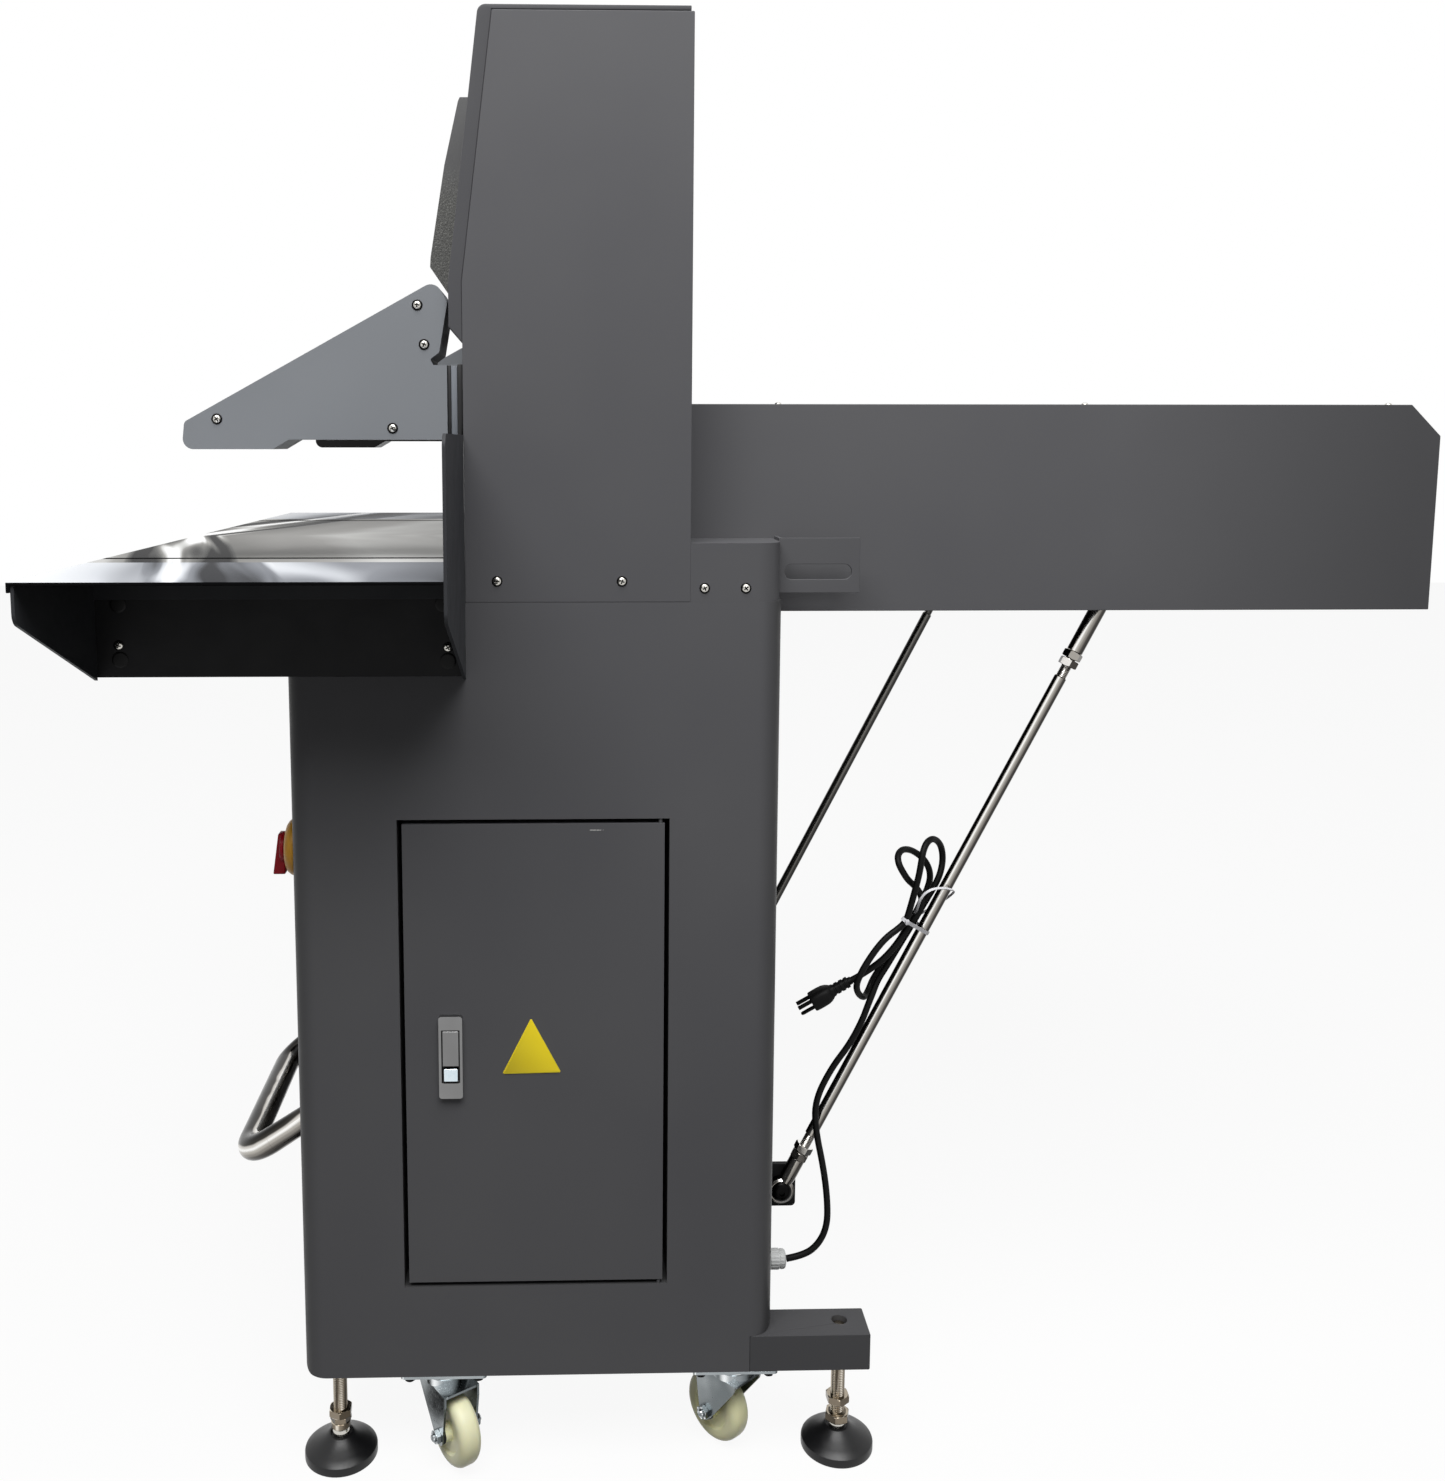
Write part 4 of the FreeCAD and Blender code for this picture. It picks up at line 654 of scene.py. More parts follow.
def fastenerTree():
    tree = bpy.data.node_groups.new("set out fasteners", "GeometryNodeTree")
    tree.interface.new_socket(name="Geometry", in_out="OUTPUT", socket_type="NodeSocketGeometry")
    sockets = {}
    for name, kind in (("Geometry", "NodeSocketGeometry"), ("Head", "NodeSocketObject"), ("Width", "NodeSocketFloat"),
                       ("Seed", "NodeSocketInt"), ("Finish", "NodeSocketMaterial")):
        sockets[name] = tree.interface.new_socket(name=name, in_out="INPUT", socket_type=kind).identifier
    given = addNode(tree, "NodeGroupInput")
    facing = addNode(tree, "GeometryNodeInputNamedAttribute", {"Name": "facing"}, data_type="FLOAT_VECTOR")
    aligned = addNode(tree, "FunctionNodeAlignRotationToVector", {"Vector": facing.outputs["Attribute"]}, axis="Z")
    spin = addNode(tree, "FunctionNodeRandomValue", {2: 0, 3: 6.283, "Seed": given.outputs["Seed"]}, 1,
                   data_type="FLOAT")
    about = addNode(tree, "FunctionNodeAxisAngleToRotation", {"Axis": (0, 0, 1), "Angle": spin}, 0)
    rotation = addNode(tree, "FunctionNodeRotateRotation", {"Rotation": aligned.outputs[0], "Rotate By": about},
                       rotation_space="LOCAL")
    head = addNode(tree, "GeometryNodeObjectInfo", {"Object": given.outputs["Head"]})
    size = addNode(tree, "ShaderNodeCombineXYZ", {"X": given.outputs["Width"], "Y": given.outputs["Width"],
                                                  "Z": given.outputs["Width"]})
    spread = addNode(tree, "GeometryNodeInstanceOnPoints", {"Points": given.outputs["Geometry"],
                                                            "Instance": head.outputs["Geometry"],
                                                            "Rotation": rotation.outputs[0], "Scale": size.outputs[0]})
    real = addNode(tree, "GeometryNodeRealizeInstances", {"Geometry": spread.outputs[0]})
    finish = addNode(tree, "GeometryNodeSetMaterial", {"Geometry": real.outputs[0],
                                                       "Material": given.outputs["Finish"]})
    addNode(tree, "NodeGroupOutput", {"Geometry": finish.outputs[0]})
    return tree, sockets


fastenerNodes, fastenerSockets = fastenerTree()


def setOut(name, head, spots, width, material, slot):
    # spots are (place in mm, the way the head faces)
    mesh = bpy.data.meshes.new(name)
    mesh.from_pydata([tuple(c / 1000 for c in place) for place, way in spots], [], [])
    attribute = mesh.attributes.new("facing", "FLOAT_VECTOR", "POINT")
    attribute.data.foreach_set("vector", [c for place, way in spots for c in way])
    piece = bpy.data.objects.new(name, mesh)
    bpy.context.scene.collection.objects.link(piece)
    modifier = piece.modifiers.new("set out", "NODES")
    modifier.node_group = fastenerNodes
    for key, value in (("Head", head), ("Width", width), ("Seed", fasteners["seed"]), ("Finish", material)):
        modifier[fastenerSockets[key]] = value
    made = bpy.data.meshes.new_from_object(piece.evaluated_get(bpy.context.evaluated_depsgraph_get()))
    piece.modifiers.clear()
    piece.data = made
    made.name = name
    made.shade_smooth()
    made.set_sharp_from_angle(angle=math.radians(40))
    fit(piece, "machine", slot)


# Heads one unit wide, scaled where they are set out
panHead = makePiece("panHeadShape", crossScrewHead(), screwMetal)
# painted shade: a black cross that fills each screw head's recess
crossShade = makePiece("crossShape", joined(roundedBlock((-0.3, -0.075, 0.1), (0.3, 0.075, 0.27), 0.02, 1),
                                           roundedBlock((-0.075, -0.3, 0.1), (0.075, 0.3, 0.27), 0.02, 1)), screwMetal)
# painted shade: a dark ring round each screw head
shadowRing = makePiece("ringShape", turned([(0.36, -0.02), (0.5, -0.02), (0.5, 0.035), (0.47, 0.06), (0.36, 0.06)]),
                       screwMetal)
flushPlug = makePiece("plugShape", turned([(0, -0.02), (0.5, -0.02), (0.5, 0.03), (0.46, 0.07), (0.38, 0.085),
                                           (0, 0.07)]), screwMetal)
hexHead = makePiece("hexHeadShape", joined(hexNut(1.0, 0.48, 0.3), turned([(0, 0.02), (0.31, 0.02), (0.31, 0.44),
                                                                           (0.27, 0.46), (0, 0.46)], 24)), screwMetal)
screwSpots = [(-288.1, 943.0), (-165.8, 942.7), (-84.5, 935.8), (-43.8, 935.7), (-657.6, 880.8), (-336.9, 877.8)]
armSpots = [(-362.8, 1208.8), (-356.7, 1171.5), (-388.3, 1091.5), (-557.4, 1100.3)]
plugSpots = [(-656.9, 866.6), (-337.0, 864.3), (-657.0, 921), (-341.1, 921)]
onSides, onArms, inPlugs = [[((sign * x, y, z), (sign, 0, 0)) for sign in (1, -1) for y, z in spots]
                            for x, spots in ((fasteners["bodySide"], screwSpots), (fasteners["armSide"], armSpots),
                                             (fasteners["bodySide"], plugSpots))]
onTop = [((sign * fasteners["topAcross"], y, fasteners["rearTop"]), (0, 0, 1)) for sign in (1, -1)
         for y in (-2.5, 315.7, 633.9)]
underCasters = [((sign * casters["across"] + dx * fasteners["boltPitch"][0], y + dy * fasteners["boltPitch"][1],
                  fasteners["plateUnder"]), (0, 0, -1)) for sign in (1, -1) for y in (casters["front"], casters["rear"])
                for dx in (-0.5, 0.5) for dy in (-0.5, 0.5)]
for name, head, spots, width, material, slot in (
        ("sideScrews", panHead, onSides, "screw", screwMetal, "nickel"),
        ("sideScrewRecesses", crossShade, onSides, "screw", blackSteel, "black_paint"),
        ("armScrewRecesses", crossShade, onArms, "armScrew", blackSteel, "black_paint"),
        ("sideScrewRings", shadowRing, onSides, "ring", blackSteel, "black_paint"),
        ("armScrews", panHead, onArms, "armScrew", screwMetal, "nickel"),
        ("armScrewRings", shadowRing, onArms, "ring", blackSteel, "black_paint"),
        ("sidePlugs", flushPlug, inPlugs, "plug", plugPlastic, "black_paint"),
        ("rearTopScrews", panHead, onTop, "topScrew", screwMetal, "nickel"),
        ("casterPlateBolts", hexHead, underCasters, "casterBolt", blackSteel, "black_paint")):
    setOut(name, head, spots, fasteners[width], material, slot)
print("fasteners done")


# Levelling feet: rubbery black pad, ball, screw and nuts

feet = {"padRadius": 38.5, "band": 9, "top": 25, "ballRadius": 9, "screwRadius": 7.5, "pitch": 2.0, "threadDepth": 0.45,
        "nutWidth": 22.5, "lowNut": (31, 8.5), "frontNut": (46, 8), "rearNut": (52, 8), "across": 373,
        "front": -464.5, "rear": 69.5}
for end in ("front", "rear"):
    y, nut = feet[end], feet[end + "Nut"]
    for side, x in (("right", feet["across"]), ("left", -feet["across"])):
        node = "foot_%s_%s" % (end, side)
        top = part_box(node)[1].z * 1000
        r, band = feet["padRadius"], feet["band"]
        pad = turned([(0, 0), (r - 1.2, 0), (r, 1.2), (r, band - 1), (r - 0.5, band + 0.6), (r - 2.5, band + 2.4),
                      (r - 8, band + 5.2), (r - 15, band + 9), (r - 22, band + 13), (14, band + 15.2),
                      (12.4, feet["top"]), (11.2, feet["top"]), (10.6, feet["top"] - 1.2), (0, feet["top"] - 1.6)], 64)
        tag = "_%s_%s" % (end, side)
        fit(makePiece("footPad" + tag, placed(pad, (x, y, 0)), blackPlastic, 28), "machine", "black_rubber", node)
        ball = turned([(0, 20)] + [(feet["ballRadius"] * math.sin(a), 26.5 - feet["ballRadius"] * 0.72 * math.cos(a))
                                   for a in [math.radians(d) for d in range(20, 161, 10)]] + [(0, 32.9)], 32)
        base, tall = feet["lowNut"]
        bore = feet["screwRadius"] - 0.6
        screw = threadedRod(feet["screwRadius"], top - base, feet["pitch"], feet["threadDepth"])
        if end == "rear":
            low = placed(hexNut(feet["nutWidth"] + 1, tall, bore), (0, 0, base), turn=12)
            collar = turned([(7, base + tall), (9.4, base + tall), (9.4, base + tall + 0.8), (7, base + tall + 1.6)])
        else:  # the front one turns in a round collar under its lock nut
            low = turned([(7, base + 1), (9.8, base + 1), (10.6, base + 2), (10.6, base + tall - 1),
                          (9.8, base + tall - 0.3), (7, base + tall)], 48)
            collar = placed(hexNut(19.5, 6.3, bore), (0, 0, base + tall), turn=5)
        high = placed(hexNut(feet["nutWidth"], nut[1], bore), (0, 0, nut[0]), turn=33)
        metal = joined(placed(screw, (0, 0, base)), low, collar, high)
        fit(makePiece("footBall" + tag, placed(ball, (x, y, 0)), screwMetal), "machine", "nickel")
        fit(makePiece("footScrew" + tag, placed(metal, (x, y, 0)), nickel, 20), "machine", "nickel")
print("feet done")


# Casters: crowned nylon wheels with a recessed side ring, and the axle bolts

tread = []
for d in range(-90, 91, 10):  # the rounded tread
    a = math.radians(d)
    tread.append((casters["radius"] - 9 + 9 * math.cos(a) if abs(d) > 1 else casters["radius"],
                  (casters["half"] - 9) * (1 if d > 0 else -1 if d < 0 else 0) + 9 * math.sin(a)))
half = casters["half"]
wheelProfile = ([(4.05, -17), (8.4, -17), (9, -16.4), (9.6, -half + 3.4), (11.5, -half + 3), (21, -half + 2.6),
                 (22.4, -half + 1.2), (23.4, -half + 0.3), (25, -half)] + tread +
                [(25, half), (23.4, half - 0.3), (22.4, half - 1.2), (21, half - 2.6), (11.5, half - 3),
                 (9.6, half - 3.4), (9, 16.4), (8.4, 17), (4.05, 17)])
for (end, side), heading in casters["headings"].items():
    tag = "%s_%s" % (end, side)
    a = math.radians(heading)
    across = casters["across"] * (1 if side == "right" else -1)
    axle = (across + casters["trail"] * math.cos(a), casters[end] + casters["trail"] * math.sin(a), casters["axle"])
    axis = (-math.sin(a), math.cos(a), 0)
    wheel = makePiece("wheel_" + tag, placed(turned(wheelProfile, 72), axle, axis),
                      creamNylonRear if tag == "rear_right" else creamNylon, 30)
    fit(wheel, "wheel_" + tag, "cream_nylon", "caster_wheel_" + tag)
    washers = bothEnds(turned([(4.2, 17.1), (9.8, 17.1), (9.8, 18.3), (4.2, 18.3)], 36))
    fit(makePiece("wheelWashers_" + tag, placed(washers, axle, axis), blackPlastic), "caster_" + tag, "black_rubber")
    bolt = bothEnds(joined(placed(hexNut(13, 5.2, 3.4), (0, 0, 21.1)),
                           turned([(0, 21.3), (4.2, 21.3), (4.2, 27.6), (3.4, 28.8), (0, 29.4)], 28)))
    fit(makePiece("axleBolt_" + tag, placed(bolt, axle, axis), zinc, 32), "caster_" + tag, "zinc")
    race = turned([(20, 101.3), (24.5, 101.3), (25.2, 100), (24.6, 98.2), (22.6, 97), (20, 97)], 60)
    fit(makePiece("swivelRace_" + tag, placed(race, (across, casters[end], 0)), zinc, 32), "caster_" + tag, "zinc")
print("casters done")


# Guard arms: the mounting rails behind them

rails = {"low": 1080.5, "inside": 323, "outside": 389.5,  # and each layer's front, back and top
         "Seal": (-335.4, -331.6, 1152), "Rail": (-331.4, -325.6, 1151), "Gap": (-325.4, -319.7, 1153)}
for side, sign in (("right", 1), ("left", -1)):
    x0, x1 = sorted((sign * rails["inside"], sign * rails["outside"]))
    # painted shade: the black Gap strip stands for the shadowed gap behind the rail
    for part, material, slot in (("Seal", blackPlastic, "black_paint"), ("Rail", silverPaint, "silver_paint"),
                                 ("Gap", blackPlastic, "black_paint")):
        y0, y1, top = rails[part]
        strip = roundedBlock((x0, y0, rails["low"]), (x1, y1, top), 0.7, 2)
        fit(makePiece("arm%s_%s" % (part, side), strip, material), "machine", slot)
print("arms done")


# Door fittings: the polished push button of the lock, and a bare plate where the sign was

doorFittings = {"buttonLow": (403.2, -346.4, 432.4), "buttonHigh": (406.5, -332.0, 446.0),
                "plate": [(-257.6, 496.8), (-287.2, 437.6), (-227.2, 438.6)], "face": 400.02, "plateFront": 400.9}
button = roundedBlock(doorFittings["buttonLow"], doorFittings["buttonHigh"], 1.1, 3)
fit(makePiece("lockButton", button, polishedButton), "door", "lock_metal")


def flatPlate(corners, x0, x1, cut, rise):
    # a thin plate with its rim rounded down and its corners cut
    ring = []
    for i, corner in enumerate(corners):
        here = Vector(corner)
        for other in (Vector(corners[i - 1]), Vector(corners[(i + 1) % len(corners)])):
            ring.append(here + (other - here).normalized() * cut)
    middle = sum(ring, Vector((0, 0))) / len(ring)
    points = []
    for x, inset in ((x0, 0), (x1 - rise, 0), (x1, 1.0)):
        for p in ring:
            q = p + (middle - p).normalized() * inset
            points.append((x, q.x, q.y))
    return points, tubeFaces(len(ring), 3)


plainPlate = flatPlate(doorFittings["plate"], doorFittings["face"], doorFittings["plateFront"], 1.5, 0.35)
fit(makePiece("doorPlate", plainPlate, yellowEnamel), "door", "yellow_plastic")
print("door fittings done")


# Main switch: a domed round base and a lever that grows deeper towards its lower end

mainSwitch = {"middle": (342, -498.5, 661), "base": 29.5, "leverLow": (335, -525.5, 633),
              "leverHigh": (349, -512.6, 676), "topShare": 0.52}
r = mainSwitch["base"]
dome = turned([(0, 0.05), (r, 0.05), (r + 0.5, 0.6), (r + 0.5, 4), (r - 0.5, 7), (r - 2.5, 9.6), (r - 5.5, 11.6),
               (r - 9.5, 12.8), (9, 13), (0, 13)], 64)
fit(makePiece("switchBase", placed(dome, mainSwitch["middle"], (0, -1, 0)), yellowPlastic, 50), "machine",
    "yellow_plastic", "switch_base")
low, high = mainSwitch["leverLow"], mainSwitch["leverHigh"]
lever = roundedBlock(low, high, 1.5, 3)
slim = (1 - mainSwitch["topShare"]) / (high[2] - low[2])  # the lever's depth lost with each mm of height
leverPoints = [(x, high[1] + (y - high[1]) * (1 - slim * (z - low[2])), z) for x, y, z in lever[0]]
boss = turned([(4.4, 14.1), (15, 14.1), (15.6, 14.7), (15.6, 17.4), (14.6, 18.4), (4.4, 18.4)], 48)
fit(makePiece("switchLever", joined((leverPoints, lever[1]), placed(boss, mainSwitch["middle"], (0, -1, 0))),
              redPlastic, 40), "switch_handle", "red_plastic", "switch_handle")
print("main switch done")


# Tie rods: tube, threads, nuts and rod ends about the two pins

rods = {"across": 284, "low": (18.5, 243.5), "high": (363.5, 926.0), "tube": 6.6, "shank": 8.5, "thread": 5.6,
        "lowShank": 42, "topShank": 81, "nuts": 17, "threadLong": 13, "eye": 14.5, "eyeHalf": 6, "nutWidth": 18,
        "button": 11.6}
rodAxis = Vector((0, rods["high"][0] - rods["low"][0], rods["high"][1] - rods["low"][1]))
rodLong = rodAxis.length


def rodEnd(reach, nuts):
    # shank, two nuts and a length of thread, from the eye outwards
    shank = turned([(0, 7), (7.2, 7), (7.4, 12), (rods["shank"], 17), (rods["shank"], reach - 1),
                    (rods["shank"] - 0.8, reach), (0, reach)])
    first = placed(hexNut(rods["nutWidth"], 8, 5), (0, 0, reach), turn=10)
    second = placed(hexNut(rods["nutWidth"], 8, 5), (0, 0, reach + 9), turn=38)
    thread = placed(threadedRod(rods["thread"], nuts + rods["threadLong"], 1.75, 0.5), (0, 0, reach))
    eye = turned([(5.2, -rods["eyeHalf"]), (12.4, -rods["eyeHalf"]), (rods["eye"], -rods["eyeHalf"] + 1.6),
                  (rods["eye"], rods["eyeHalf"] - 1.6), (12.4, rods["eyeHalf"]), (5.2, rods["eyeHalf"])], 56)
    return joined(shank, first, second, thread, placed(eye, (0, 0, 0), (1, 0, 0)))


for side, sign in (("right", 1), ("left", -1)):
    low = Vector((sign * rods["across"], rods["low"][0], rods["low"][1]))
    high = Vector((sign * rods["across"], rods["high"][0], rods["high"][1]))
    tubeStart = rods["lowShank"] + rods["nuts"] + rods["threadLong"]
    tubeStop = rodLong - rods["topShank"] - rods["nuts"] - rods["threadLong"]
    r = rods["tube"]
    tube = turned([(0, tubeStart), (r - 1, tubeStart), (r, tubeStart + 1), (r, tubeStop - 1), (r - 1, tubeStop),
                   (0, tubeStop)])
    rod = joined(placed(tube, low, rodAxis), placed(rodEnd(rods["lowShank"], rods["nuts"]), low, rodAxis),
                 placed(rodEnd(rods["topShank"], rods["nuts"]), high, -rodAxis))
    # painted shade: the far rod takes the darker bands, as it lies in shadow
    fit(makePiece("tieRod_" + side, rod, rodSteel if side == "right" else shadedRodSteel, 20), "machine", "nickel",
        "tie_rod_" + side)
    b = rods["button"]
    cap = turned([(0, 5.6), (b, 5.6), (b, 6.6), (b - 0.6, 7.8), (b - 2.6, 9.3), (b - 5, 10.1), (3.2, 10.4), (3.0, 8.4),
                  (0, 8.4)], 48)
    pin = joined(cap, turned([(0, -17), (5, -17), (5, 8), (0, 8)], 28))
    pins = joined(placed(pin, low, (sign, 0, 0)), placed(pin, high, (sign, 0, 0)))
    fit(makePiece("rodPins_" + side, pins, blackSteel, 40), "machine", "black_paint")
print("tie rods done")


# Mains cord: gland, cord with its tied hank, ties and plug

cordSet = {"diameter": 7.2, "length": 1.19, "tieWide": 3.8, "tieThick": 1.1, "tieAt": 338, "tieLean": -0.12,
           "glandAt": (330, -5.5, 188.5), "plugFrom": (285, 90.3, 486.6), "plugWay": (0, -0.866, -0.5)}
cordRoute = [
    (330, 18.5, 188.5), (330, 38.2, 192), (328.5, 54.2, 204), (325.5, 63.7, 222.7), (321.5, 64.6, 247.7),
    (316, 61, 282.5), (298.5, 53.5, 323.5), (293.5, 54, 353.5), (290.5, 71.5, 388.5), (290, 92, 416.5),
    (290, 105.5, 444.5), (289, 111.1, 460.6), (287, 116.4, 472.9), (282, 122.7, 486.5), (281, 132, 501),
    (280, 141.2, 516.6), (279, 150.4, 531.8), (278, 159.4, 546.7), (277, 167.9, 561.9), (276, 176.2, 576.1),
    (276, 184.3, 590.4), (274, 190.9, 603.4), (269, 195, 615.5), (269, 194.6, 628), (274, 190, 639.8),
    (283, 180.4, 648.1), (293, 171, 647.4), (300, 165.1, 639.7), (303, 162.6, 628.4), (303, 160.8, 615),
    (301, 158.2, 599.9), (299, 155.2, 584.6), (297, 152.3, 570.5), (296, 149.2, 558.2), (297, 140.8, 550.7),
    (299, 129.1, 543.1), (301, 119, 533.1), (302, 110.3, 521.1), (303, 102.7, 509.1), (303, 97.2, 497.3),
    (302, 95, 488.3), (297, 97.5, 479), (290, 102.5, 471.7), (282, 108, 467), (276, 111.9, 467.5),
    (268, 117.1, 472.2), (265, 120.3, 478.4), (264, 126, 488.2), (264, 133.6, 499.8), (265, 141.2, 512.2),
    (267, 149.3, 526.1), (269, 157.8, 542.9), (266, 167.2, 557.4), (263, 174.7, 571.3), (261, 180.9, 583.3),
    (261, 184, 595.4), (263, 182.2, 606.9), (265, 176.5, 617.4), (266, 168, 625.5), (271, 157.3, 632.1),
    (280, 146.6, 634.8), (290, 139.5, 631.3), (298, 138.9, 624.1), (300, 143.7, 614.9), (296, 150.4, 605),
    (290, 159.3, 596.7), (287, 166.7, 587.1), (287, 169, 577.1), (287, 165.9, 566.9), (287, 159.5, 557.9),
    (288, 153.5, 549.2), (289, 146.5, 538.2), (290, 137.7, 526.1), (291, 127.2, 514.7), (290, 116.5, 505.3),
    (288, 106.1, 497.1), (286, 96.7, 490.2), (285, 90.3, 486.6),
]


def makeCord():
    line = bpy.data.curves.new("mainsCord", "CURVE")
    line.dimensions = "3D"
    line.resolution_u = 8
    spline = line.splines.new("NURBS")
    spline.points.add(len(cordRoute) - 1)
    for point, place in zip(spline.points, cordRoute):
        point.co = (place[0] / 1000, place[1] / 1000, place[2] / 1000, 1)
    spline.order_u = 3
    spline.use_endpoint_u = True
    cord = bpy.data.objects.new("mainsCord", line)
    bpy.context.scene.collection.objects.link(cord)
    flat = bpy.data.meshes.new_from_object(cord.evaluated_get(bpy.context.evaluated_depsgraph_get()))
    centres = [Vector(v.co) * 1000 for v in flat.vertices]
    bpy.data.meshes.remove(flat)
    line.bevel_depth = cordSet["diameter"] / 2000
    line.bevel_resolution = 5
    line.use_fill_caps = True
    line.materials.append(cordRubber)
    return cord, centres


mainsCord, cordCentres = makeCord()
fit(mainsCord, "machine", "black_rubber", "mains_cord", "cord_hank")


def ribbed(radius, height, angle):
    # grip ribs round the gland's cap
    return radius - 0.5 * (0.5 - 0.5 * math.cos(18 * angle)) if 10.2 < radius < 11.4 else radius


glandCap = turned([(3.7, 16.4), (9.9, 16.4), (10.5, 17.2), (10.5, 19.8), (10, 21.2), (9, 22.3), (7.6, 22.9),
                   (3.7, 22.9)], 112, ribbed)
glandBody = turned([(3.7, 6), (10.6, 6), (11, 6.6), (11, 15), (10.6, 15.6), (3.7, 15.6)], 112, ribbed)
glandNeck = turned([(3.7, 15.4), (9.6, 15.4), (9.6, 16.6), (3.7, 16.6)], 48)
gland = placed(joined(hexNut(19.6, 6.5, 3.7), glandBody, glandNeck, glandCap), cordSet["glandAt"], (0, 1, 0))
fit(makePiece("cordGland", gland, greyPlastic, 30), "machine", "grey_plastic", "cord_gland")


def bandLoop(path, wideWay, wide, thick):
    # a flat strap that runs round a closed path, its width along wideWay
    points, faces = [], []
    count = len(path)
    middle = sum(path, Vector()) / count
    for i, here in enumerate(path):
        along = (path[(i + 1) % count] - path[i - 1]).normalized()
        width = (wideWay - along * wideWay.dot(along)).normalized()
        outward = along.cross(width)
        if outward.dot(here - middle) < 0:
            outward.negate()
        for w, t in ((-0.5, 0), (0.5, 0), (0.5, 1), (-0.5, 1)):
            points.append(tuple(here + width * w * wide + outward * t * thick))
    for i in range(count):
        j = (i + 1) % count
        for k in range(4):
            m = (k + 1) % 4
            faces.append((4 * i + k, 4 * i + m, 4 * j + m, 4 * j + k))
    return points, faces


def hullAround(circles, clearance):
    # the taut outline round circles in a plane, as (x, y) points
    turns = [2 * math.pi * i / 32 for i in range(32)]
    cloud = sorted({(round(x + (r + clearance) * math.cos(turn), 4), round(y + (r + clearance) * math.sin(turn), 4))
                    for x, y, r in circles for turn in turns})

    def half(points):
        chain = []
        for p in points:
            while len(chain) > 1 and ((chain[-1][0] - chain[-2][0]) * (p[1] - chain[-2][1])
                                      - (chain[-1][1] - chain[-2][1]) * (p[0] - chain[-2][0])) <= 0:
                chain.pop()
            chain.append(p)
        return chain[:-1]
    return half(cloud) + half(cloud[::-1])


def lowerTie(height, lean):
    # pulled tight round every run of the cord and the rod where its plane cuts them
    way = rodAxis.normalized()
    normal = (way + Vector((0, -way.z, way.y)) * lean).normalized()
    centre = Vector((rods["across"], rods["low"][0], rods["low"][1])) + way * height
    first = Vector((1, 0, 0))
    second = normal.cross(first).normalized()
    circles = [(0, 0, rods["tube"])]
    for here, there in zip(cordCentres, cordCentres[1:]):
        a, b = (here - centre).dot(normal), (there - centre).dot(normal)
        if a * b <= 0 and a != b:
            cut = here + (there - here) * (a / (a - b))
            if (cut - centre).length < 45:
                circles.append(((cut - centre).dot(first), (cut - centre).dot(second), cordSet["diameter"] / 2 + 0.2))
    print("lower tie runs round", len(circles), "circles")
    path = [centre + first * x + second * y for x, y in hullAround(circles, 0.25)]
    return path, normal


tiePath, tieNormal = lowerTie(cordSet["tieAt"], cordSet["tieLean"])
band = bandLoop(tiePath, tieNormal, cordSet["tieWide"], cordSet["tieThick"])
headAt = max(tiePath, key=lambda p: p.x)
block = roundedBlock((-2.2, -2.6, -2), (2.2, 2.6, 2.4), 0.6, 2)
lower = joined(band, placed(block, headAt + Vector((1.6, 0, 0)), (1, 0, 0)))
loopPoints = [(298, 161.5, 573.0), (304.5, 161.4, 584.0), (307.5, 165.6, 593.3), (308, 172.7, 598.1),
              (306, 182.2, 598.9), (300, 193.7, 596.0), (290, 202.8, 590.5), (277, 205.5, 583.7), (264, 202.6, 573.8),
              (257, 193.2, 564.1), (256, 181.0, 556.5), (265, 170.7, 555.0), (284, 160.6, 562.0)]


def smoothLoop(corners, steps=6):
    # a closed loop through the middles of the runs, rounded at each corner
    path = []
    count = len(corners)
    for i in range(count):
        here = Vector(corners[i])
        start, stop = (here + Vector(corners[i - 1])) / 2, (here + Vector(corners[(i + 1) % count])) / 2
        for k in range(steps):
            t = k / steps
            path.append(start * (1 - t) ** 2 + here * 2 * t * (1 - t) + stop * t * t)
    return path


upperPath = smoothLoop(loopPoints)
upperNormal = Vector((0, 0, 0))
for a, b in zip(upperPath, upperPath[1:]):
    upperNormal += a.cross(b)
upper = bandLoop(upperPath, upperNormal.normalized(), cordSet["tieWide"] * 0.65, cordSet["tieThick"])
cordTies = fit(makePiece("cordTies", joined(lower, upper), whiteNylon, 30), "machine", "grey_plastic")

plugBody = lofted([(-3, 4.2, 4.2, 2), (0.6, 4.4, 4.4, 2), (0.9, 5.9, 5.9, 2.4), (4.4, 6.1, 6.1, 2.4),
                   (4.8, 5.2, 5.2, 2.4), (6.4, 5.2, 5.2, 2.4), (6.8, 6.1, 6.1, 2.4), (10.4, 6.2, 6.2, 2.4),
                   (10.8, 5.3, 5.3, 2.4), (12.4, 5.3, 5.3, 2.4), (12.8, 6.2, 6.2, 2.4), (16.4, 6.2, 6.2, 2.4),
                   (16.8, 5.4, 5.4, 2.4), (18.4, 5.5, 5.5, 2.4), (18.8, 6.4, 6.3, 2.4), (21.4, 6.8, 6.6, 2.4),
                   (23, 8.2, 7.6, 2.6), (26, 10.2, 8.8, 2.8), (30, 11.3, 9.6, 3), (36, 11.5, 9.8, 3.2),
                   (41, 11.3, 9.7, 3.4), (45.5, 11, 9.4, 3.6), (46.8, 10.6, 9, 3.6), (47.2, 9.8, 8.2, 3.6)], 40)
plugWay = Vector(cordSet["plugWay"]).normalized()
plugUp = Vector((0, -plugWay.z, plugWay.y))  # the side of the plug that looks up
if plugUp.z < 0:
    plugUp.negate()


def alongPlug(shape):
    # X stays across the machine, Y of the shape turns to the upper side
    start = Vector(cordSet["plugFrom"])
    return [tuple(start + Vector((p[0], 0, 0)) + plugUp * p[1] + plugWay * p[2]) for p in shape[0]], shape[1]


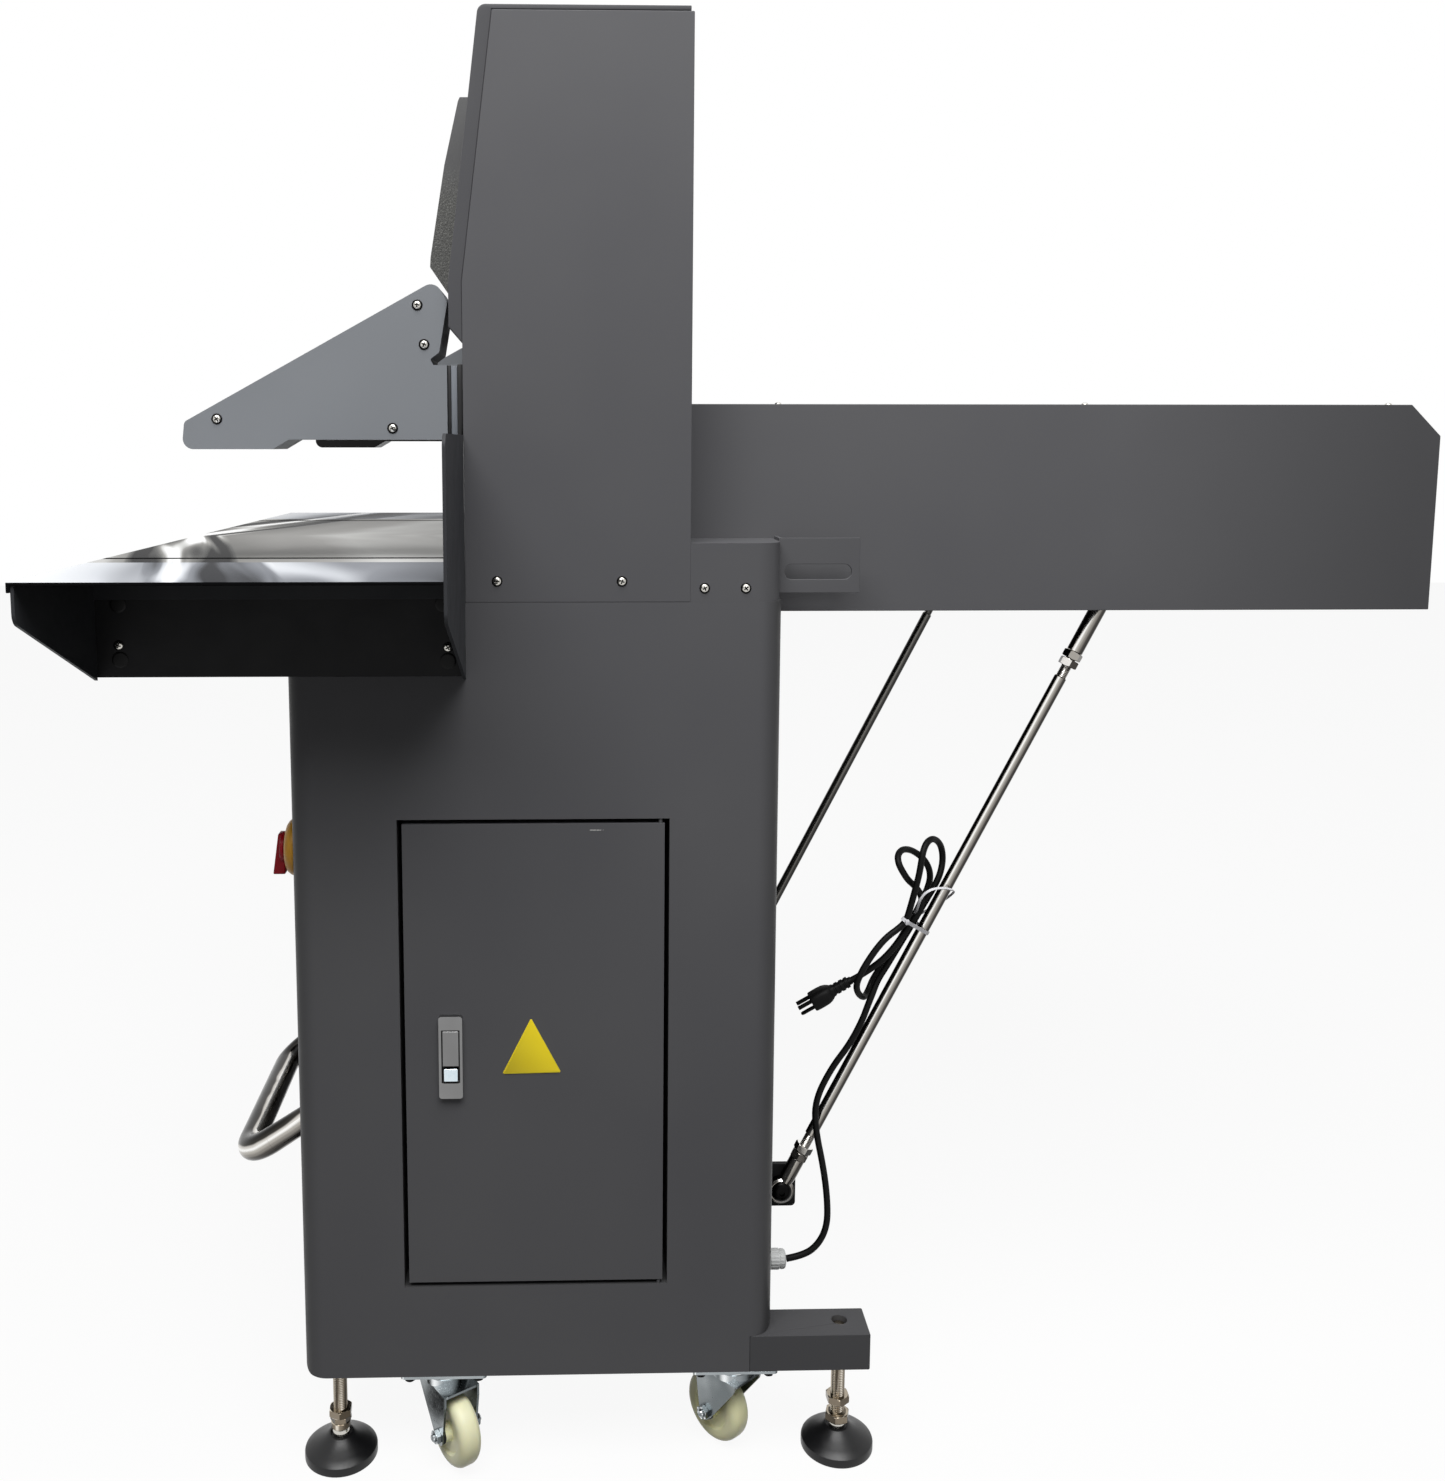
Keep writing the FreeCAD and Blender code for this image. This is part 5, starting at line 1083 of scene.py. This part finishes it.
cordPlug = fit(makePiece("cordPlug", alongPlug(plugBody), cordRubber, 38), "machine", "black_rubber", "cord_plug")
blades = [roundedBlock((x - 0.8, 1.6, 46), (x + 0.8, 6.2, 63), 0.5, 2) for x in (-6.3, 6.3)]
ground = turned([(0, 45), (2.1, 45), (2.1, 61.5), (1.5, 63.4), (0, 64)], 24)
blades.append(([(p[0], p[1] - 6.2, p[2]) for p in ground[0]], ground[1]))
# painted shade: the plug's pins in blackened steel, dark as they lie in shade
plugPins = fit(makePiece("plugPins", alongPlug(joined(*blades)), blackSteel), "machine", "nickel")
for spare in (panHead, crossShade, shadowRing, flushPlug, hexHead):
    bpy.data.objects.remove(spare)
print("cord done")


# Room, light and camera

room = {"floor": ("#f4f4f3", "#f8f8f7"), "floorBounce": "#6f6f6f", "floorGlow": 0.93, "sky": "#f5f5f5",
        "skyLight": 0.14, "keyPower": 112, "keyPlace": (1.6, -0.25, 3.1), "keyTarget": (0.4, -0.05, 0.9),
        "keySize": (2.6, 2.0)}


def seenRays(tree):
    # 1 for what the camera, metal and glass look at
    path = addNode(tree, "ShaderNodeLightPath")
    either = addNode(tree, "ShaderNodeMath", {0: path.outputs["Is Camera Ray"], 1: path.outputs["Is Glossy Ray"]}, 0,
                     operation="MAXIMUM")
    return addNode(tree, "ShaderNodeMath", {0: either, 1: path.outputs["Is Transmission Ray"]}, 0,
                   operation="MAXIMUM")


def makeFloor():
    mesh = bpy.data.meshes.new("floor")
    mesh.from_pydata([(-9, -9, 0), (9, -9, 0), (9, 9, 0), (-9, 9, 0)], [], [(0, 1, 2, 3)])
    floor = bpy.data.objects.new("floor", mesh)
    bpy.context.scene.collection.objects.link(floor)
    material, tree, shader, place = startMaterial("pale studio floor")
    cloud = addNode(tree, "ShaderNodeTexNoise", {"Vector": place, "Scale": 1 / 0.9, "Detail": 2, "Roughness": 0.5},
                    "Fac")
    tone = addNode(tree, "ShaderNodeMix", {"Factor": cloud, "A": linear(room["floor"][0]),
                                           "B": linear(room["floor"][1])}, "Result", data_type="RGBA")
    connect(tree, shader, {"Base Color": tone, "Roughness": 0.85, "Specular IOR Level": 0})
    glow = addNode(tree, "ShaderNodeEmission", {"Color": (1, 1, 1, 1), "Strength": 1.0}, 0)
    seen = addNode(tree, "ShaderNodeMixShader", {0: room["floorGlow"], 1: shader.outputs[0], 2: glow}, 0)
    bounce = addNode(tree, "ShaderNodeBsdfDiffuse", {"Color": linear(room["floorBounce"])}, 0)
    mixed = addNode(tree, "ShaderNodeMixShader", {0: seenRays(tree), 1: bounce, 2: seen}, 0)
    connect(tree, tree.nodes["Material Output"], {"Surface": mixed})
    mesh.materials.append(material)


def makeWorld():
    world = bpy.data.worlds.new("studio")
    world.use_nodes = True
    bpy.context.scene.world = world
    tree = world.node_tree
    tree.nodes.clear()
    seen = addNode(tree, "ShaderNodeBackground", {"Color": (1, 1, 1, 1), "Strength": 1.0}, 0)
    lit = addNode(tree, "ShaderNodeBackground", {"Color": linear(room["sky"]), "Strength": room["skyLight"]}, 0)
    mixed = addNode(tree, "ShaderNodeMixShader", {0: seenRays(tree), 1: lit, 2: seen}, 0)
    addNode(tree, "ShaderNodeOutputWorld", {"Surface": mixed})


def makeLight():
    light = bpy.data.lights.new("ceiling light", "AREA")
    light.shape = "RECTANGLE"
    light.size, light.size_y = room["keySize"]
    light.energy = room["keyPower"]
    lamp = bpy.data.objects.new("ceiling light", light)
    lamp.location = room["keyPlace"]
    lamp.rotation_euler = (Vector(room["keyTarget"]) - Vector(room["keyPlace"])).to_track_quat("-Z", "Y").to_euler()
    bpy.context.scene.collection.objects.link(lamp)


# Fitted to the edges of the machine in the photograph: sizes in its pixels, angles in radians, place in metres
photoView = {"wide": 1445, "high": 1481, "focal": 1396.77, "centre": (604.94, 612.67), "yaw": 0.0249, "pitch": -0.1199,
             "roll": 0.0004, "place": (1.7626, -0.2165, 1.076), "sensor": 36}


def makeCamera():
    camera = bpy.data.cameras.new("camera")
    camera.sensor_fit = "HORIZONTAL"
    camera.sensor_width = photoView["sensor"]
    camera.lens = photoView["focal"] / photoView["wide"] * photoView["sensor"]
    camera.shift_x = (photoView["wide"] / 2 - photoView["centre"][0]) / photoView["wide"]
    camera.shift_y = (photoView["centre"][1] - photoView["high"] / 2) / photoView["wide"]
    camera.clip_start = 0.05
    holder = bpy.data.objects.new("camera", camera)
    yaw, pitch, roll = photoView["yaw"], photoView["pitch"], photoView["roll"]
    flat = Vector((-math.cos(yaw), math.sin(yaw), 0))
    right = Vector((math.sin(yaw), math.cos(yaw), 0))
    ahead = flat * math.cos(pitch) + Vector((0, 0, 1)) * math.sin(pitch)
    up = Vector((0, 0, 1)) * math.cos(pitch) - flat * math.sin(pitch)
    right, up = right * math.cos(roll) + up * math.sin(roll), up * math.cos(roll) - right * math.sin(roll)
    holder.matrix_world = Matrix.Translation(photoView["place"]) @ Matrix((right, up, -ahead)).transposed().to_4x4()
    bpy.context.scene.collection.objects.link(holder)
    bpy.context.scene.camera = holder


makeFloor()
makeWorld()
makeLight()
makeCamera()
bpy.context.scene.view_settings.view_transform = "Standard"
print("room done")
